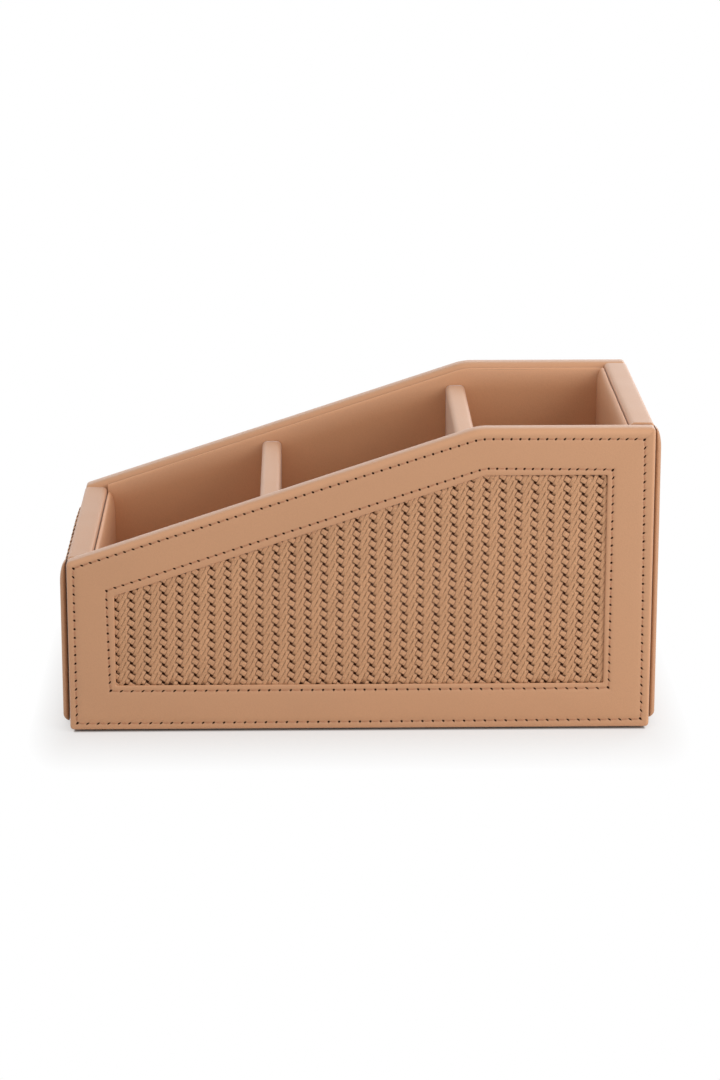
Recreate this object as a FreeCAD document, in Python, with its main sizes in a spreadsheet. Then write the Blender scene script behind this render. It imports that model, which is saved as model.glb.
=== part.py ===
import FreeCAD, Part
import Sketcher
import math
import os
import re

# A remote control holder: a box of boards wrapped in tan leather. Its rim slopes from a tall
# right end down to a low left end, and two fixed dividers make three compartments.
# The frame is in millimetres: the origin is at the middle of the underside, +X points to the
# tall end, +Y to the back and +Z up, so the front faces -Y.

# Driving dimensions: name, value, and what it measures
SIZES = (
    ("panel_width", "273.2", "front and back panels, side to side"),
    ("panel_depth", "153", "front face to back face"),
    ("tall_height", "146", "table to the level rim"),
    ("slope_angle", "18.32", "slope of the rim in degrees"),
    ("break_offset", "54.6", "middle of the box to the bend of the rim"),
    ("break_radius", "30", "rounding of the rim at its bend"),
    ("board", "9", "thickness of the wall boards"),
    ("leather", "1", "thickness of the smooth leather"),
    ("edge_fold", "2", "radius of leather folded over an edge"),
    ("panel_corner", "2.6", "rounding of the panel corners"),
    ("turn_in", "16", "leather turned over to the inside of a wall"),
    ("frame_width", "22", "leather frame from the panel edge to its window"),
    ("weave", "1.6", "thickness of the woven sheet in the window"),
    ("weave_lap", "7", "woven sheet hidden under the frame"),
    ("weave_play", "0.2", "room round the woven sheet in its recess"),
    ("outer_seam", "4.3", "outer row of stitches from the panel edge"),
    ("inner_seam", "19", "inner row of stitches from the panel edge"),
    ("seam_width", "1.1", "groove that a row of stitches pulls into the leather"),
    ("seam_depth", "0.45", "depth of that groove"),
    ("thread_width", "0.7", "thread in the groove"),
    ("stitch_pitch", "4.3", "needle hole to needle hole"),
    ("stitch_hole", "1.1", "gap between two stitches at the needle hole"),
    ("cover_proud", "3.2", "end cover's leather beyond the panel sides"),
    ("sheet_proud", "0.7", "woven sheet beyond the end cover's leather"),
    ("cover_foam", "1.8", "foam behind the end cover"),
    ("cover_hem", "3", "leather edge turned in round the foam"),
    ("cover_roll", "3", "rounding of the end cover's edges"),
    ("cover_drop", "3", "rim down to the end cover"),
    ("cover_gap", "0.4", "gap round the end cover"),
    ("lining_card", "1.6", "card inside a lining panel"),
    ("lining_pad", "2", "padded leather on the card"),
    ("lining_fold", "1.2", "padded leather over the top of the card"),
    ("lining_roll", "2.2", "rounding of the lining's top edge"),
    ("lining_drop", "1.5", "rim down to the lining's top"),
    ("lining_gap", "0.4", "seam between the wall and its lining"),
    ("fit_gap", "0.2", "play of what is pushed in between the linings"),
    ("base_board", "6", "thickness of the base board"),
    ("floor_card", "1.6", "card under the floor leather"),
    ("pad_thickness", "1", "felt under the base"),
    ("pad_inset", "4", "felt back from the panel edges"),
    ("pad_corner", "6", "rounding of the felt's corners"),
    ("divider_board", "7.6", "board inside a divider"),
    ("divider_roll", "2.4", "rounding of a divider's top edges"),
    ("left_divider", "41.9", "left divider's middle, to the left of the middle"),
    ("right_divider", "50.5", "right divider's middle, to the right of the middle"),
    ("left_drop", "6.8", "rim down to the top of the left divider"),
    ("right_drop", "8.9", "rim down to the top of the right divider"),
    ("pin_diameter", "1.4", "brads that hold the end boards to the base board"),
    ("pin_length", "24", "length of a brad"),
    ("pin_inset", "14", "first brad from the end of the board"),
    ("pin_play", "0.1", "brad hole over the brad"),
)
PIN_COUNT = 4
SEAMS = ("outer_seam", "inner_seam")
SMALL = 0.001
# Share of a thickness that the rounding of its edge may take
MOST_ROUND = 0.8

# Derived sizes, as formulas of the driving dimensions
HALF = "panel_width / 2"
WALL = "(board + 2 * leather)"
FRONT = "panel_depth / 2"
INSIDE = f"({FRONT} - {WALL})"
END_FACE = f"({HALF} - {WALL})"
LOW_RIM = f"(tall_height - (break_offset + {HALF}) * tan(slope_angle))"
BASE_TOP = "(pad_thickness + base_board)"
FLOOR_TOP = f"({BASE_TOP} + floor_card + leather)"
LINING = "(lining_card + lining_pad)"
LINED_FRONT = f"({INSIDE} - lining_gap - {LINING})"
LINED_END = f"({END_FACE} - lining_gap - {LINING})"
COVER = "(leather + cover_proud)"
FOLD = f"min(edge_fold; {MOST_ROUND} * panel_corner)"
LINING_ROLL = f"min(lining_roll; {MOST_ROUND} * {LINING})"
COVER_ROLL = f"min(cover_roll; {MOST_ROUND} * {COVER})"
DIVIDER_ROLL = f"min(divider_roll; {MOST_ROUND} * divider_board / 2)"

ALIASES = {name for name, value, note in SIZES}

doc = FreeCAD.newDocument("remote_control_holder")
sheet = doc.addObject("Spreadsheet::Sheet", "sizes")
for row, (name, value, note) in enumerate(SIZES, start=1):
    sheet.set(f"A{row}", note)
    sheet.set(f"B{row}", value)
    sheet.setAlias(f"B{row}", name)
doc.recompute()

subparts = []


def size(name):
    """Value of a driving dimension, for the shapes that are set in code."""
    return float(getattr(sheet, name))


def bind(thing, prop, formula):
    """Tie a property to the sheet: each driving dimension in the formula is read from its cell."""
    def cell(match):
        word = match.group()
        return f"sizes.{word}" if word in ALIASES else word
    thing.setExpression(prop, re.sub(r"[a-z_]+", cell, formula))


def new_body(label):
    """Empty body for one sub-part."""
    body = doc.addObject("PartDesign::Body", label)
    body.Label = label
    subparts.append(body)
    return body


def sketch_on(body, role, name, offset):
    """Sketch on one of the body's origin planes, moved along the plane's normal by the offset."""
    plane = next(item for item in body.Origin.OriginFeatures if item.Role == role)
    sketch = body.newObject("Sketcher::SketchObject", f"{body.Label}_{name}")
    sketch.AttachmentSupport = [(plane, "")]
    sketch.MapMode = "FlatFace"
    bind(sketch, "AttachmentOffset.Base.z", offset)
    return sketch


def limit(sketch, name, formula, *definition):
    """Named dimension of a sketch, tied to the sheet."""
    index = sketch.addConstraint(Sketcher.Constraint(*definition))
    sketch.renameConstraint(index, name)
    bind(sketch, f"Constraints.{name}", formula)


def join(sketch, *definition):
    """Geometric constraint of a sketch."""
    sketch.addConstraint(Sketcher.Constraint(*definition))


def line(sketch, start, end):
    """Line of a sketch, and its number there."""
    return sketch.addGeometry(Part.LineSegment(FreeCAD.Vector(*start, 0), FreeCAD.Vector(*end, 0)), False)


def wall_outline(sketch, tag, side, floor, top):
    """Outline of a long wall: side and top are insets from the panel's edge, floor is a height.

    The sketch is drawn near its place and the dimensions then move it there.
    """
    half = size("panel_width") / 2
    high = size("tall_height")
    bend = size("break_offset")
    slope = math.radians(size("slope_angle"))
    radius = size("break_radius")
    reach = radius * math.tan(slope / 2)
    low = high - (bend + half) * math.tan(slope)
    foot = size("pad_thickness")
    arc_end = (bend - reach * math.cos(slope), high - reach * math.sin(slope))
    middle = FreeCAD.Vector(bend + reach, high - radius, 0)
    circle = Part.Circle(middle, FreeCAD.Vector(0, 0, 1), radius)
    quarter = math.pi / 2
    bottom = line(sketch, (-half, foot), (half, foot))
    right = line(sketch, (half, foot), (half, high))
    level = line(sketch, (half, high), (bend + reach, high))
    bow = sketch.addGeometry(Part.ArcOfCircle(circle, quarter, quarter + slope), False)
    incline = line(sketch, (-half, low), arc_end)
    left = line(sketch, (-half, low), (-half, foot))
    corner = sketch.addGeometry(Part.Point(FreeCAD.Vector(bend, high, 0)), True)
    join(sketch, "Coincident", bottom, 2, right, 1)
    join(sketch, "Coincident", right, 2, level, 1)
    join(sketch, "Coincident", incline, 1, left, 1)
    join(sketch, "Coincident", left, 2, bottom, 1)
    join(sketch, "Tangent", level, 2, bow, 1)
    join(sketch, "Tangent", bow, 2, incline, 2)
    join(sketch, "Horizontal", level)
    join(sketch, "Vertical", right)
    join(sketch, "Vertical", left)
    join(sketch, "Symmetric", bottom, 1, bottom, 2, -2)
    join(sketch, "PointOnObject", corner, 1, level)
    join(sketch, "PointOnObject", corner, 1, incline)
    limit(sketch, f"{tag}_width", f"panel_width - 2 * ({side})",
          "DistanceX", bottom, 1, bottom, 2, 2 * half)
    limit(sketch, f"{tag}_floor", floor, "DistanceY", -1, 1, bottom, 1, foot)
    limit(sketch, f"{tag}_rim", f"tall_height - ({top})", "DistanceY", -1, 1, right, 2, high)
    limit(sketch, f"{tag}_bend", f"break_offset + ({top}) * tan(slope_angle / 2)",
          "DistanceX", -1, 1, corner, 1, bend)
    limit(sketch, f"{tag}_round", f"break_radius - ({top})", "Radius", bow, radius)
    limit(sketch, f"{tag}_slope", "slope_angle * 1 deg", "Angle", incline, slope)


def rectangle(sketch, tag, near, far, low, high):
    """Rectangle between two distances to the right of the origin and two heights above it."""
    corners = ((1, 1), (2, 1), (2, 2), (1, 2))
    sides = [line(sketch, corners[i], corners[(i + 1) % 4]) for i in range(4)]
    for i in range(4):
        join(sketch, "Coincident", sides[i], 2, sides[(i + 1) % 4], 1)
        join(sketch, "Horizontal" if i % 2 == 0 else "Vertical", sides[i])
    limit(sketch, f"{tag}_near", near, "DistanceX", -1, 1, sides[0], 1, 1)
    limit(sketch, f"{tag}_far", far, "DistanceX", -1, 1, sides[1], 1, 2)
    limit(sketch, f"{tag}_low", low, "DistanceY", -1, 1, sides[0], 1, 1)
    limit(sketch, f"{tag}_high", high, "DistanceY", -1, 1, sides[2], 1, 2)


def centred_rectangle(sketch, tag, width, low, high):
    """Rectangle that is centred across the origin, between two heights above it."""
    corners = ((-1, 1), (1, 1), (1, 2), (-1, 2))
    sides = [line(sketch, corners[i], corners[(i + 1) % 4]) for i in range(4)]
    for i in range(4):
        join(sketch, "Coincident", sides[i], 2, sides[(i + 1) % 4], 1)
    join(sketch, "Symmetric", sides[0], 1, sides[0], 2, -2)
    join(sketch, "Vertical", sides[1])
    join(sketch, "Horizontal", sides[2])
    join(sketch, "Vertical", sides[3])
    limit(sketch, f"{tag}_width", width, "DistanceX", sides[0], 1, sides[0], 2, 2)
    limit(sketch, f"{tag}_low", low, "DistanceY", -1, 1, sides[0], 1, 1)
    limit(sketch, f"{tag}_high", high, "DistanceY", -1, 1, sides[2], 1, 2)


def plan_rectangle(sketch, tag, width, length):
    """Rectangle that is centred on the origin both ways."""
    corners = ((-2, -1), (2, -1), (2, 1), (-2, 1))
    sides = [line(sketch, corners[i], corners[(i + 1) % 4]) for i in range(4)]
    for i in range(4):
        join(sketch, "Coincident", sides[i], 2, sides[(i + 1) % 4], 1)
        join(sketch, "Horizontal" if i % 2 == 0 else "Vertical", sides[i])
    join(sketch, "Symmetric", sides[0], 1, sides[2], 1, -1, 1)
    limit(sketch, f"{tag}_width", width, "DistanceX", sides[0], 1, sides[0], 2, 4)
    limit(sketch, f"{tag}_length", length, "DistanceY", sides[1], 1, sides[1], 2, 2)


def pad(body, sketch, length):
    """Grow a sketch along its normal."""
    feature = body.newObject("PartDesign::Pad", f"{sketch.Label}_pad")
    feature.Profile = sketch
    bind(feature, "Length", length)
    doc.recompute()
    return feature


def pocket(body, sketch, depth, along_normal=False):
    """Cut from a sketch against its normal, or along it, and make sure that something goes."""
    volume = body.Shape.Volume
    feature = body.newObject("PartDesign::Pocket", f"{sketch.Label}_pocket")
    feature.Profile = sketch
    feature.Reversed = along_normal
    bind(feature, "Length", depth)
    doc.recompute()
    if body.Shape.Volume > volume - SMALL:
        raise RuntimeError(f"{feature.Label} cuts nothing")
    return feature


def round_edges(body, name, radius, chosen):
    """Round those edges of the body that the test chooses from their boxes."""
    base = body.Tip
    edges = [f"Edge{i}" for i, edge in enumerate(base.Shape.Edges, start=1) if chosen(edge.BoundBox)]
    feature = body.newObject("PartDesign::Fillet", f"{body.Label}_{name}")
    feature.Base = (base, edges)
    bind(feature, "Radius", radius)
    doc.recompute()
    return feature


def row_of_holes(body, sketch, depth, along_normal=False):
    """Brad holes along Y in the end of a board, from the sketch of the first one."""
    hole = pocket(body, sketch, depth, along_normal)
    row = body.newObject("PartDesign::LinearPattern", f"{sketch.Label}_row")
    row.Originals = [hole]
    row.Direction = (sketch, ["H_Axis"])
    row.Reversed = True
    row.Occurrences = PIN_COUNT
    bind(row, "Length", f"2 * ({INSIDE} - pin_inset)")
    body.Tip = row
    doc.recompute()


def first_hole(body, name, offset):
    """Sketch of the backmost brad hole, half way up the base board, across X."""
    sketch = sketch_on(body, "YZ_Plane", name, offset)
    start = FreeCAD.Vector(1, 1, 0)
    hole = sketch.addGeometry(Part.Circle(start, FreeCAD.Vector(0, 0, 1), 1), False)
    limit(sketch, "hole_across", f"{INSIDE} - pin_inset", "DistanceX", -1, 1, hole, 3, 1)
    limit(sketch, "hole_height", "pad_thickness + base_board / 2", "DistanceY", -1, 1, hole, 3, 1)
    limit(sketch, "hole_size", "(pin_diameter + pin_play) / 2", "Radius", hole, 1)
    return sketch


def mirror_to_back(front):
    """Same piece on the back wall, mirrored through the middle of the box."""
    label = front.Label.replace("front", "back")
    feature = doc.addObject("Part::Mirroring", label)
    feature.Label = label
    feature.Source = front
    feature.Normal = FreeCAD.Vector(0, 1, 0)
    subparts.append(feature)


def front_board():
    """Board of the front wall, with a recess for the woven sheet in its outer face."""
    body = new_body("front_board")
    outline = sketch_on(body, "XZ_Plane", "outline", f"{INSIDE} + leather")
    wall_outline(outline, "board", "leather", "pad_thickness + leather", "leather")
    pad(body, outline, "board")
    recess = sketch_on(body, "XZ_Plane", "recess", f"{FRONT} - leather")
    edge = "frame_width - weave_lap - weave_play"
    wall_outline(recess, "recess", edge, f"pad_thickness + {edge}", edge)
    pocket(body, recess, "weave")
    return body


def front_woven_panel():
    """Woven sheet behind the window, lapped under the frame."""
    body = new_body("front_woven_panel")
    outline = sketch_on(body, "XZ_Plane", "outline", f"{FRONT} - leather - weave")
    edge = "frame_width - weave_lap"
    wall_outline(outline, "sheet", edge, f"pad_thickness + {edge}", edge)
    pad(body, outline, "weave")
    return body


def front_frame_leather():
    """Leather round the front board: a frame outside, folded over every edge and turned in."""
    body = new_body("front_frame_leather")
    half = size("panel_width") / 2
    outline = sketch_on(body, "XZ_Plane", "outline", INSIDE)
    wall_outline(outline, "panel", "0", "pad_thickness", "0")
    pad(body, outline, WALL)
    round_edges(body, "corners", "panel_corner", lambda box: box.XLength + box.ZLength < SMALL
                and abs(abs(box.XMin) - half) < SMALL)
    round_edges(body, "folds", FOLD, lambda box: box.YLength < SMALL)
    space = sketch_on(body, "XZ_Plane", "board_space", f"{FRONT} - leather")
    wall_outline(space, "space", "leather", "pad_thickness + leather", "leather")
    pocket(body, space, "board")
    opening = sketch_on(body, "XZ_Plane", "inner_opening", f"{INSIDE} + leather")
    wall_outline(opening, "opening", "turn_in", "pad_thickness + turn_in", "turn_in")
    pocket(body, opening, "leather")
    window = sketch_on(body, "XZ_Plane", "window", FRONT)
    wall_outline(window, "window", "frame_width", "pad_thickness + frame_width", "frame_width")
    pocket(body, window, "leather")
    for seam in SEAMS:
        groove = sketch_on(body, "XZ_Plane", f"{seam}_groove", FRONT)
        for tag, edge in (("out", f"{seam} - seam_width / 2"), ("in", f"{seam} + seam_width / 2")):
            wall_outline(groove, tag, edge, f"pad_thickness + {edge}", edge)
        pocket(body, groove, "seam_depth")
    return body


def seam_runs(inset):
    """Four runs of a seam round the panel, as wires in the plane y = 0."""
    slope = math.radians(size("slope_angle"))
    side = size("panel_width") / 2 - inset
    low = size("pad_thickness") + inset
    high = size("tall_height") - inset
    bend = size("break_offset") + inset * math.tan(slope / 2)
    radius = size("break_radius") - inset
    reach = radius * math.tan(slope / 2)

    def point(x, z):
        return FreeCAD.Vector(x, 0, z)

    low_left = point(-side, low)
    low_right = point(side, low)
    high_right = point(side, high)
    high_left = point(-side, high - (bend + side) * math.tan(slope))
    arc_start = point(bend + reach, high)
    arc_end = point(bend - reach * math.cos(slope), high - reach * math.sin(slope))
    arc_middle = point(bend + reach - radius * math.sin(slope / 2),
                       high - radius * (1 - math.cos(slope / 2)))
    rim = Part.Wire([
        Part.makeLine(high_right, arc_start),
        Part.Arc(arc_start, arc_middle, arc_end).toShape(),
        Part.makeLine(arc_end, high_left),
    ])
    straight = ((low_left, low_right), (low_right, high_right), (high_left, low_left))
    return [rim] + [Part.Wire([Part.makeLine(start, end)]) for start, end in straight]


def front_stitches(seam):
    """Separate stitches of one row, each bar lying in the groove between two needle holes."""
    place = seam.split("_")[0]
    front = -size("panel_depth") / 2
    depth = size("seam_depth")
    width = size("thread_width")
    bars = []
    for run in seam_runs(size(seam)):
        count = max(1, round(run.Length / size("stitch_pitch")))
        length = run.Length / count - size("stitch_hole")
        slant = min(depth, length / 4)
        ends = (-length / 2, length / 2)
        profile = [(ends[0], depth), (ends[1], depth), (ends[1] - slant, 0), (ends[0] + slant, 0)]
        corners = [FreeCAD.Vector(x, y, -width / 2) for x, y in profile]
        bar = Part.Face(Part.makePolygon(corners + corners[:1])).extrude(FreeCAD.Vector(0, 0, width))
        points = run.discretize(Number=2 * count + 1)
        for k in range(count):
            along = points[2 * k + 2] - points[2 * k]
            turn = FreeCAD.Rotation(FreeCAD.Vector(0, -1, 0), math.degrees(math.atan2(along.z, along.x)))
            stitch = bar.copy()
            stitch.Placement = FreeCAD.Placement(points[2 * k + 1], turn)
            bars.append(stitch)
    feature = doc.addObject("Part::Feature", f"front_{place}_stitches")
    feature.Label = f"front_{place}_stitches"
    feature.Shape = Part.makeCompound(bars)
    feature.Placement = FreeCAD.Placement(FreeCAD.Vector(0, front, 0), FreeCAD.Rotation())
    subparts.append(feature)
    return feature


def front_lining():
    """Card and padded leather of the front lining, which run the whole width inside the box."""
    side = f"{WALL} + lining_gap"
    fold = "lining_fold"
    leather = new_body("front_lining_pad")
    outline = sketch_on(leather, "XZ_Plane", "outline", LINED_FRONT)
    wall_outline(outline, "pad", side, BASE_TOP, "lining_drop")
    pad(leather, outline, LINING)
    base = size("pad_thickness") + size("base_board")
    face = max(vertex.Y for vertex in leather.Shape.Vertexes)
    round_edges(leather, "roll", LINING_ROLL, lambda box: box.YLength < SMALL and box.XLength > SMALL
                and box.YMin > face - SMALL and box.ZMax > base + SMALL)
    space = sketch_on(leather, "XZ_Plane", "card_space", f"{LINED_FRONT} + {LINING}")
    wall_outline(space, "space", f"{side} + {fold}", BASE_TOP, f"lining_drop + {fold}")
    pocket(leather, space, "lining_card")
    card = new_body("front_lining_card")
    outline = sketch_on(card, "XZ_Plane", "outline", f"{LINED_FRONT} + lining_pad")
    wall_outline(outline, "card", f"{side} + {fold}", BASE_TOP, f"lining_drop + {fold}")
    pad(card, outline, "lining_card")
    return leather, card


def end_board(side, rim):
    """Board of an end wall, pinned to the base board."""
    body = new_body(f"{side}_board")
    outline = sketch_on(body, "XZ_Plane", "outline", f"-{INSIDE}")
    rectangle(outline, "board", f"{END_FACE} + leather", f"{HALF} - leather",
              "pad_thickness", f"{rim} - leather")
    pad(body, outline, f"2 * {INSIDE}")
    row_of_holes(body, first_hole(body, "pin_hole", f"{HALF} - leather"), "board")
    return body


def rim_cap(side, rim):
    """Strip of leather folded over the top of an end board."""
    body = new_body(f"{side}_rim_cap")
    foot = f"{rim} - turn_in"
    outline = sketch_on(body, "XZ_Plane", "outline", f"-{INSIDE}")
    rectangle(outline, "cap", END_FACE, HALF, foot, rim)
    pad(body, outline, f"2 * {INSIDE}")
    top = max(vertex.Z for vertex in body.Shape.Vertexes)
    round_edges(body, "folds", FOLD, lambda box: box.ZMin > top - SMALL and box.YLength > SMALL
                and box.XLength < SMALL)
    slot = sketch_on(body, "XZ_Plane", "board_space", INSIDE)
    rectangle(slot, "slot", f"{END_FACE} + leather", f"{HALF} - leather", foot, f"{rim} - leather")
    pocket(body, slot, f"2 * {INSIDE}")
    trim = sketch_on(body, "XZ_Plane", "outer_trim", INSIDE)
    rectangle(trim, "trim", f"{HALF} - leather", HALF, foot, f"{rim} - cover_drop + cover_gap")
    pocket(body, trim, f"2 * {INSIDE}")
    return body


def end_cover(side, rim):
    """Padded cover of an end wall: smooth leather round its edges, a woven sheet let into it, and foam."""
    length = f"2 * ({INSIDE} - cover_gap)"
    low = "pad_thickness + cover_gap"
    high = f"{rim} - cover_drop"
    hem = "cover_hem"
    face = f"{HALF} - leather"
    sunk = "(weave - sheet_proud)"
    edge = "(cover_roll + weave_play)"
    sheet_edge = f"({edge} + weave_play)"
    band = new_body(f"{side}_cover_leather")
    outline = sketch_on(band, "YZ_Plane", "outline", face)
    centred_rectangle(outline, "cover", length, low, high)
    pad(band, outline, COVER)
    outside = max(vertex.X for vertex in band.Shape.Vertexes)
    round_edges(band, "roll", COVER_ROLL, lambda box: box.XMin > outside - SMALL)
    space = sketch_on(band, "YZ_Plane", "foam_space", f"{face} + cover_foam")
    centred_rectangle(space, "space", f"{length} - 2 * {hem}", f"{low} + {hem}", f"{high} - {hem}")
    pocket(band, space, "cover_foam")
    recess = sketch_on(band, "YZ_Plane", "recess", f"{face} + {COVER}")
    centred_rectangle(recess, "recess", f"{length} - 2 * {edge}", f"{low} + {edge}", f"{high} - {edge}")
    pocket(band, recess, sunk)
    woven = new_body(f"{side}_woven_cover")
    outline = sketch_on(woven, "YZ_Plane", "outline", f"{face} + {COVER} - {sunk}")
    centred_rectangle(outline, "sheet", f"{length} - 2 * {sheet_edge}", f"{low} + {sheet_edge}",
                      f"{high} - {sheet_edge}")
    pad(woven, outline, "weave")
    foam = new_body(f"{side}_cover_foam")
    outline = sketch_on(foam, "YZ_Plane", "outline", face)
    centred_rectangle(outline, "foam", f"{length} - 2 * {hem}", f"{low} + {hem}", f"{high} - {hem}")
    pad(foam, outline, "cover_foam")
    return band, woven, foam


def end_lining(side, rim):
    """Card and padded leather of an end lining, which fits between the front and back linings."""
    length = f"2 * ({LINED_FRONT} - fit_gap)"
    high = f"{rim} - lining_drop"
    fold = "lining_fold"
    leather = new_body(f"{side}_lining_pad")
    outline = sketch_on(leather, "YZ_Plane", "outline", LINED_END)
    centred_rectangle(outline, "pad", length, BASE_TOP, high)
    pad(leather, outline, LINING)
    top = max(vertex.Z for vertex in leather.Shape.Vertexes)
    face = min(vertex.X for vertex in leather.Shape.Vertexes)
    round_edges(leather, "roll", LINING_ROLL, lambda box: box.ZMin > top - SMALL
                and box.XMax < face + SMALL)
    space = sketch_on(leather, "YZ_Plane", "card_space", f"{LINED_END} + {LINING}")
    centred_rectangle(space, "space", f"{length} - 2 * {fold}", BASE_TOP, f"{high} - {fold}")
    pocket(leather, space, "lining_card")
    card = new_body(f"{side}_lining_card")
    outline = sketch_on(card, "YZ_Plane", "outline", f"{LINED_END} + lining_pad")
    centred_rectangle(outline, "card", f"{length} - 2 * {fold}", BASE_TOP, f"{high} - {fold}")
    pad(card, outline, "lining_card")
    return leather, card


def divider(side, place, rim):
    """Board and leather of a divider, which stands on the floor between the front and back linings."""
    length = f"2 * ({LINED_FRONT} - fit_gap)"
    back = f"fit_gap - {LINED_FRONT}"
    cover = new_body(f"{side}_divider_cover")
    outline = sketch_on(cover, "XZ_Plane", "outline", back)
    centred_rectangle(outline, "cover", "divider_board + 2 * leather", FLOOR_TOP, rim)
    pad(cover, outline, length)
    top = max(vertex.Z for vertex in cover.Shape.Vertexes)
    round_edges(cover, "folds", DIVIDER_ROLL, lambda box: box.ZMin > top - SMALL
                and box.YLength > SMALL)
    slot = sketch_on(cover, "XZ_Plane", "board_space", f"{LINED_FRONT} - fit_gap")
    centred_rectangle(slot, "slot", "divider_board", FLOOR_TOP, f"{rim} - leather")
    pocket(cover, slot, length)
    board = new_body(f"{side}_divider_board")
    outline = sketch_on(board, "XZ_Plane", "outline", back)
    centred_rectangle(outline, "board", "divider_board", FLOOR_TOP, f"{rim} - leather")
    pad(board, outline, length)
    for body in (cover, board):
        bind(body, "Placement.Base.x", place)


def flat_sheet(label, width, length, low, thickness):
    """Rectangular sheet or board that lies flat, from a height up."""
    body = new_body(label)
    outline = sketch_on(body, "XY_Plane", "outline", low)
    plan_rectangle(outline, "sheet", width, length)
    pad(body, outline, thickness)
    return body


def base_pins():
    """Brads through the end boards into the ends of the base board."""
    outer = size("panel_width") / 2 - size("leather")
    reach = size("panel_depth") / 2 - size("board") - 2 * size("leather") - size("pin_inset")
    height = size("pad_thickness") + size("base_board") / 2
    pins = []
    for end in (-1, 1):
        for k in range(PIN_COUNT):
            start = FreeCAD.Vector(end * outer, reach * (1 - 2 * k / (PIN_COUNT - 1)), height)
            inward = FreeCAD.Vector(-end, 0, 0)
            pins.append(Part.makeCylinder(size("pin_diameter") / 2, size("pin_length"), start, inward))
    feature = doc.addObject("Part::Feature", "base_pins")
    feature.Label = "base_pins"
    feature.Shape = Part.makeCompound(pins)
    subparts.append(feature)


# Front wall, and the same pieces mirrored to the back wall
front_pieces = [front_board(), front_woven_panel(), front_frame_leather()]
front_pieces += [front_stitches(seam) for seam in SEAMS]
front_pieces += front_lining()
for piece in front_pieces:
    mirror_to_back(piece)

# End walls: the right one as drawn, the left one lower and turned round
HALF_TURN = FreeCAD.Placement(FreeCAD.Vector(), FreeCAD.Rotation(FreeCAD.Vector(0, 0, 1), 180))
for side, rim in (("left", LOW_RIM), ("right", "tall_height")):
    pieces = [end_board(side, rim), rim_cap(side, rim), *end_cover(side, rim), *end_lining(side, rim)]
    if side == "left":
        for piece in pieces:
            piece.Placement = HALF_TURN

# Base, floor and dividers
pad_sheet = flat_sheet("base_pad", "panel_width - 2 * pad_inset", "panel_depth - 2 * pad_inset",
                       "0", "pad_thickness")
round_edges(pad_sheet, "corners", "pad_corner", lambda box: box.ZLength > SMALL)
base = flat_sheet("base_board", f"2 * ({END_FACE} + leather)", f"2 * {INSIDE}",
                  "pad_thickness", "base_board")
for name, sign, along in (("left_hole", "-", True), ("right_hole", "", False)):
    row_of_holes(base, first_hole(base, name, f"{sign}({END_FACE} + leather)"), "pin_length - board", along)
floor_width = f"2 * ({LINED_END} - fit_gap)"
floor_length = f"2 * ({LINED_FRONT} - fit_gap)"
flat_sheet("floor_card", floor_width, floor_length, BASE_TOP, "floor_card")
flat_sheet("floor_leather", floor_width, floor_length, f"{BASE_TOP} + floor_card", "leather")
base_pins()
divider("left", "-left_divider",
        "tall_height - (break_offset + left_divider) * tan(slope_angle) - left_drop")
divider("right", "right_divider",
        "tall_height - max(0; break_offset - right_divider) * tan(slope_angle) - right_drop")

# Check every object, then write one file for each sub-part
doc.recompute()
for item in doc.Objects:
    if "Invalid" in item.State or "Error" in item.State:
        raise RuntimeError(f"{item.Label} failed: {item.State}")
for piece in subparts:
    if piece.Shape.isNull() or not piece.Shape.isValid() or not piece.Shape.Solids:
        raise RuntimeError(f"{piece.Label} has no valid solid")
os.makedirs("parts", exist_ok=True)
for piece in subparts:
    piece.Shape.exportStep(f"parts/{piece.Label}.step")
    box = piece.Shape.BoundBox
    low = f"{box.XMin:.2f} {box.YMin:.2f} {box.ZMin:.2f}"
    high = f"{box.XMax:.2f} {box.YMax:.2f} {box.ZMax:.2f}"
    print(f"{piece.Label}: {len(piece.Shape.Solids)} solids, {piece.Shape.Volume:.0f} mm3, {low} to {high}")
print(f"{len(subparts)} sub-parts")
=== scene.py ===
"""Remote control holder in tan leather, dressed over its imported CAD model.

Two long walls carry a stitched leather frame round a woven window. Two end walls carry padded woven covers
under smooth rims. Inside are padded linings, two leather dividers and a leather floor. Every new piece is
a surface worked out with numpy in the frame of the CAD model, in metres, with X along the holder, Z up and
the front towards minus Y.
"""

import bpy
import numpy as np
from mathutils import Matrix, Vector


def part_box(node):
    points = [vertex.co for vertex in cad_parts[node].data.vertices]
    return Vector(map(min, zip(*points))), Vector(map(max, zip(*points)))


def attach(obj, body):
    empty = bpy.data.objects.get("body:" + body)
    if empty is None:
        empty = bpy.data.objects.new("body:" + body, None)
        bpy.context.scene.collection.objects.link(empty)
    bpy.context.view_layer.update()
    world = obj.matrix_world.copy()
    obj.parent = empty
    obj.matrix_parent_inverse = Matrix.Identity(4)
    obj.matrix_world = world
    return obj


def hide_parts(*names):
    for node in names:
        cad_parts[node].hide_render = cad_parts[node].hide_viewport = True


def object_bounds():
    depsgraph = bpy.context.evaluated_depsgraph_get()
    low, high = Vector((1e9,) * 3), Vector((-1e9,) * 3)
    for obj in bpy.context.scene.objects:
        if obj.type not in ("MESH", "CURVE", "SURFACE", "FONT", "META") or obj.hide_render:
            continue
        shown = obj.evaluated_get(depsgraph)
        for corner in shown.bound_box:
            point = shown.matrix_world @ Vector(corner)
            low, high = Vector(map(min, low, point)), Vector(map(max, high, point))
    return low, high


bl_info = {
    "name": "Remote Control Holder",
    "version": (1, 0, 0),
    "blender": (4, 5, 0),
    "location": "3D View > Sidebar > Holder",
    "description": "Leather, weave, thread and light for a remote control holder",
    "category": "Add Mesh",
}

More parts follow.
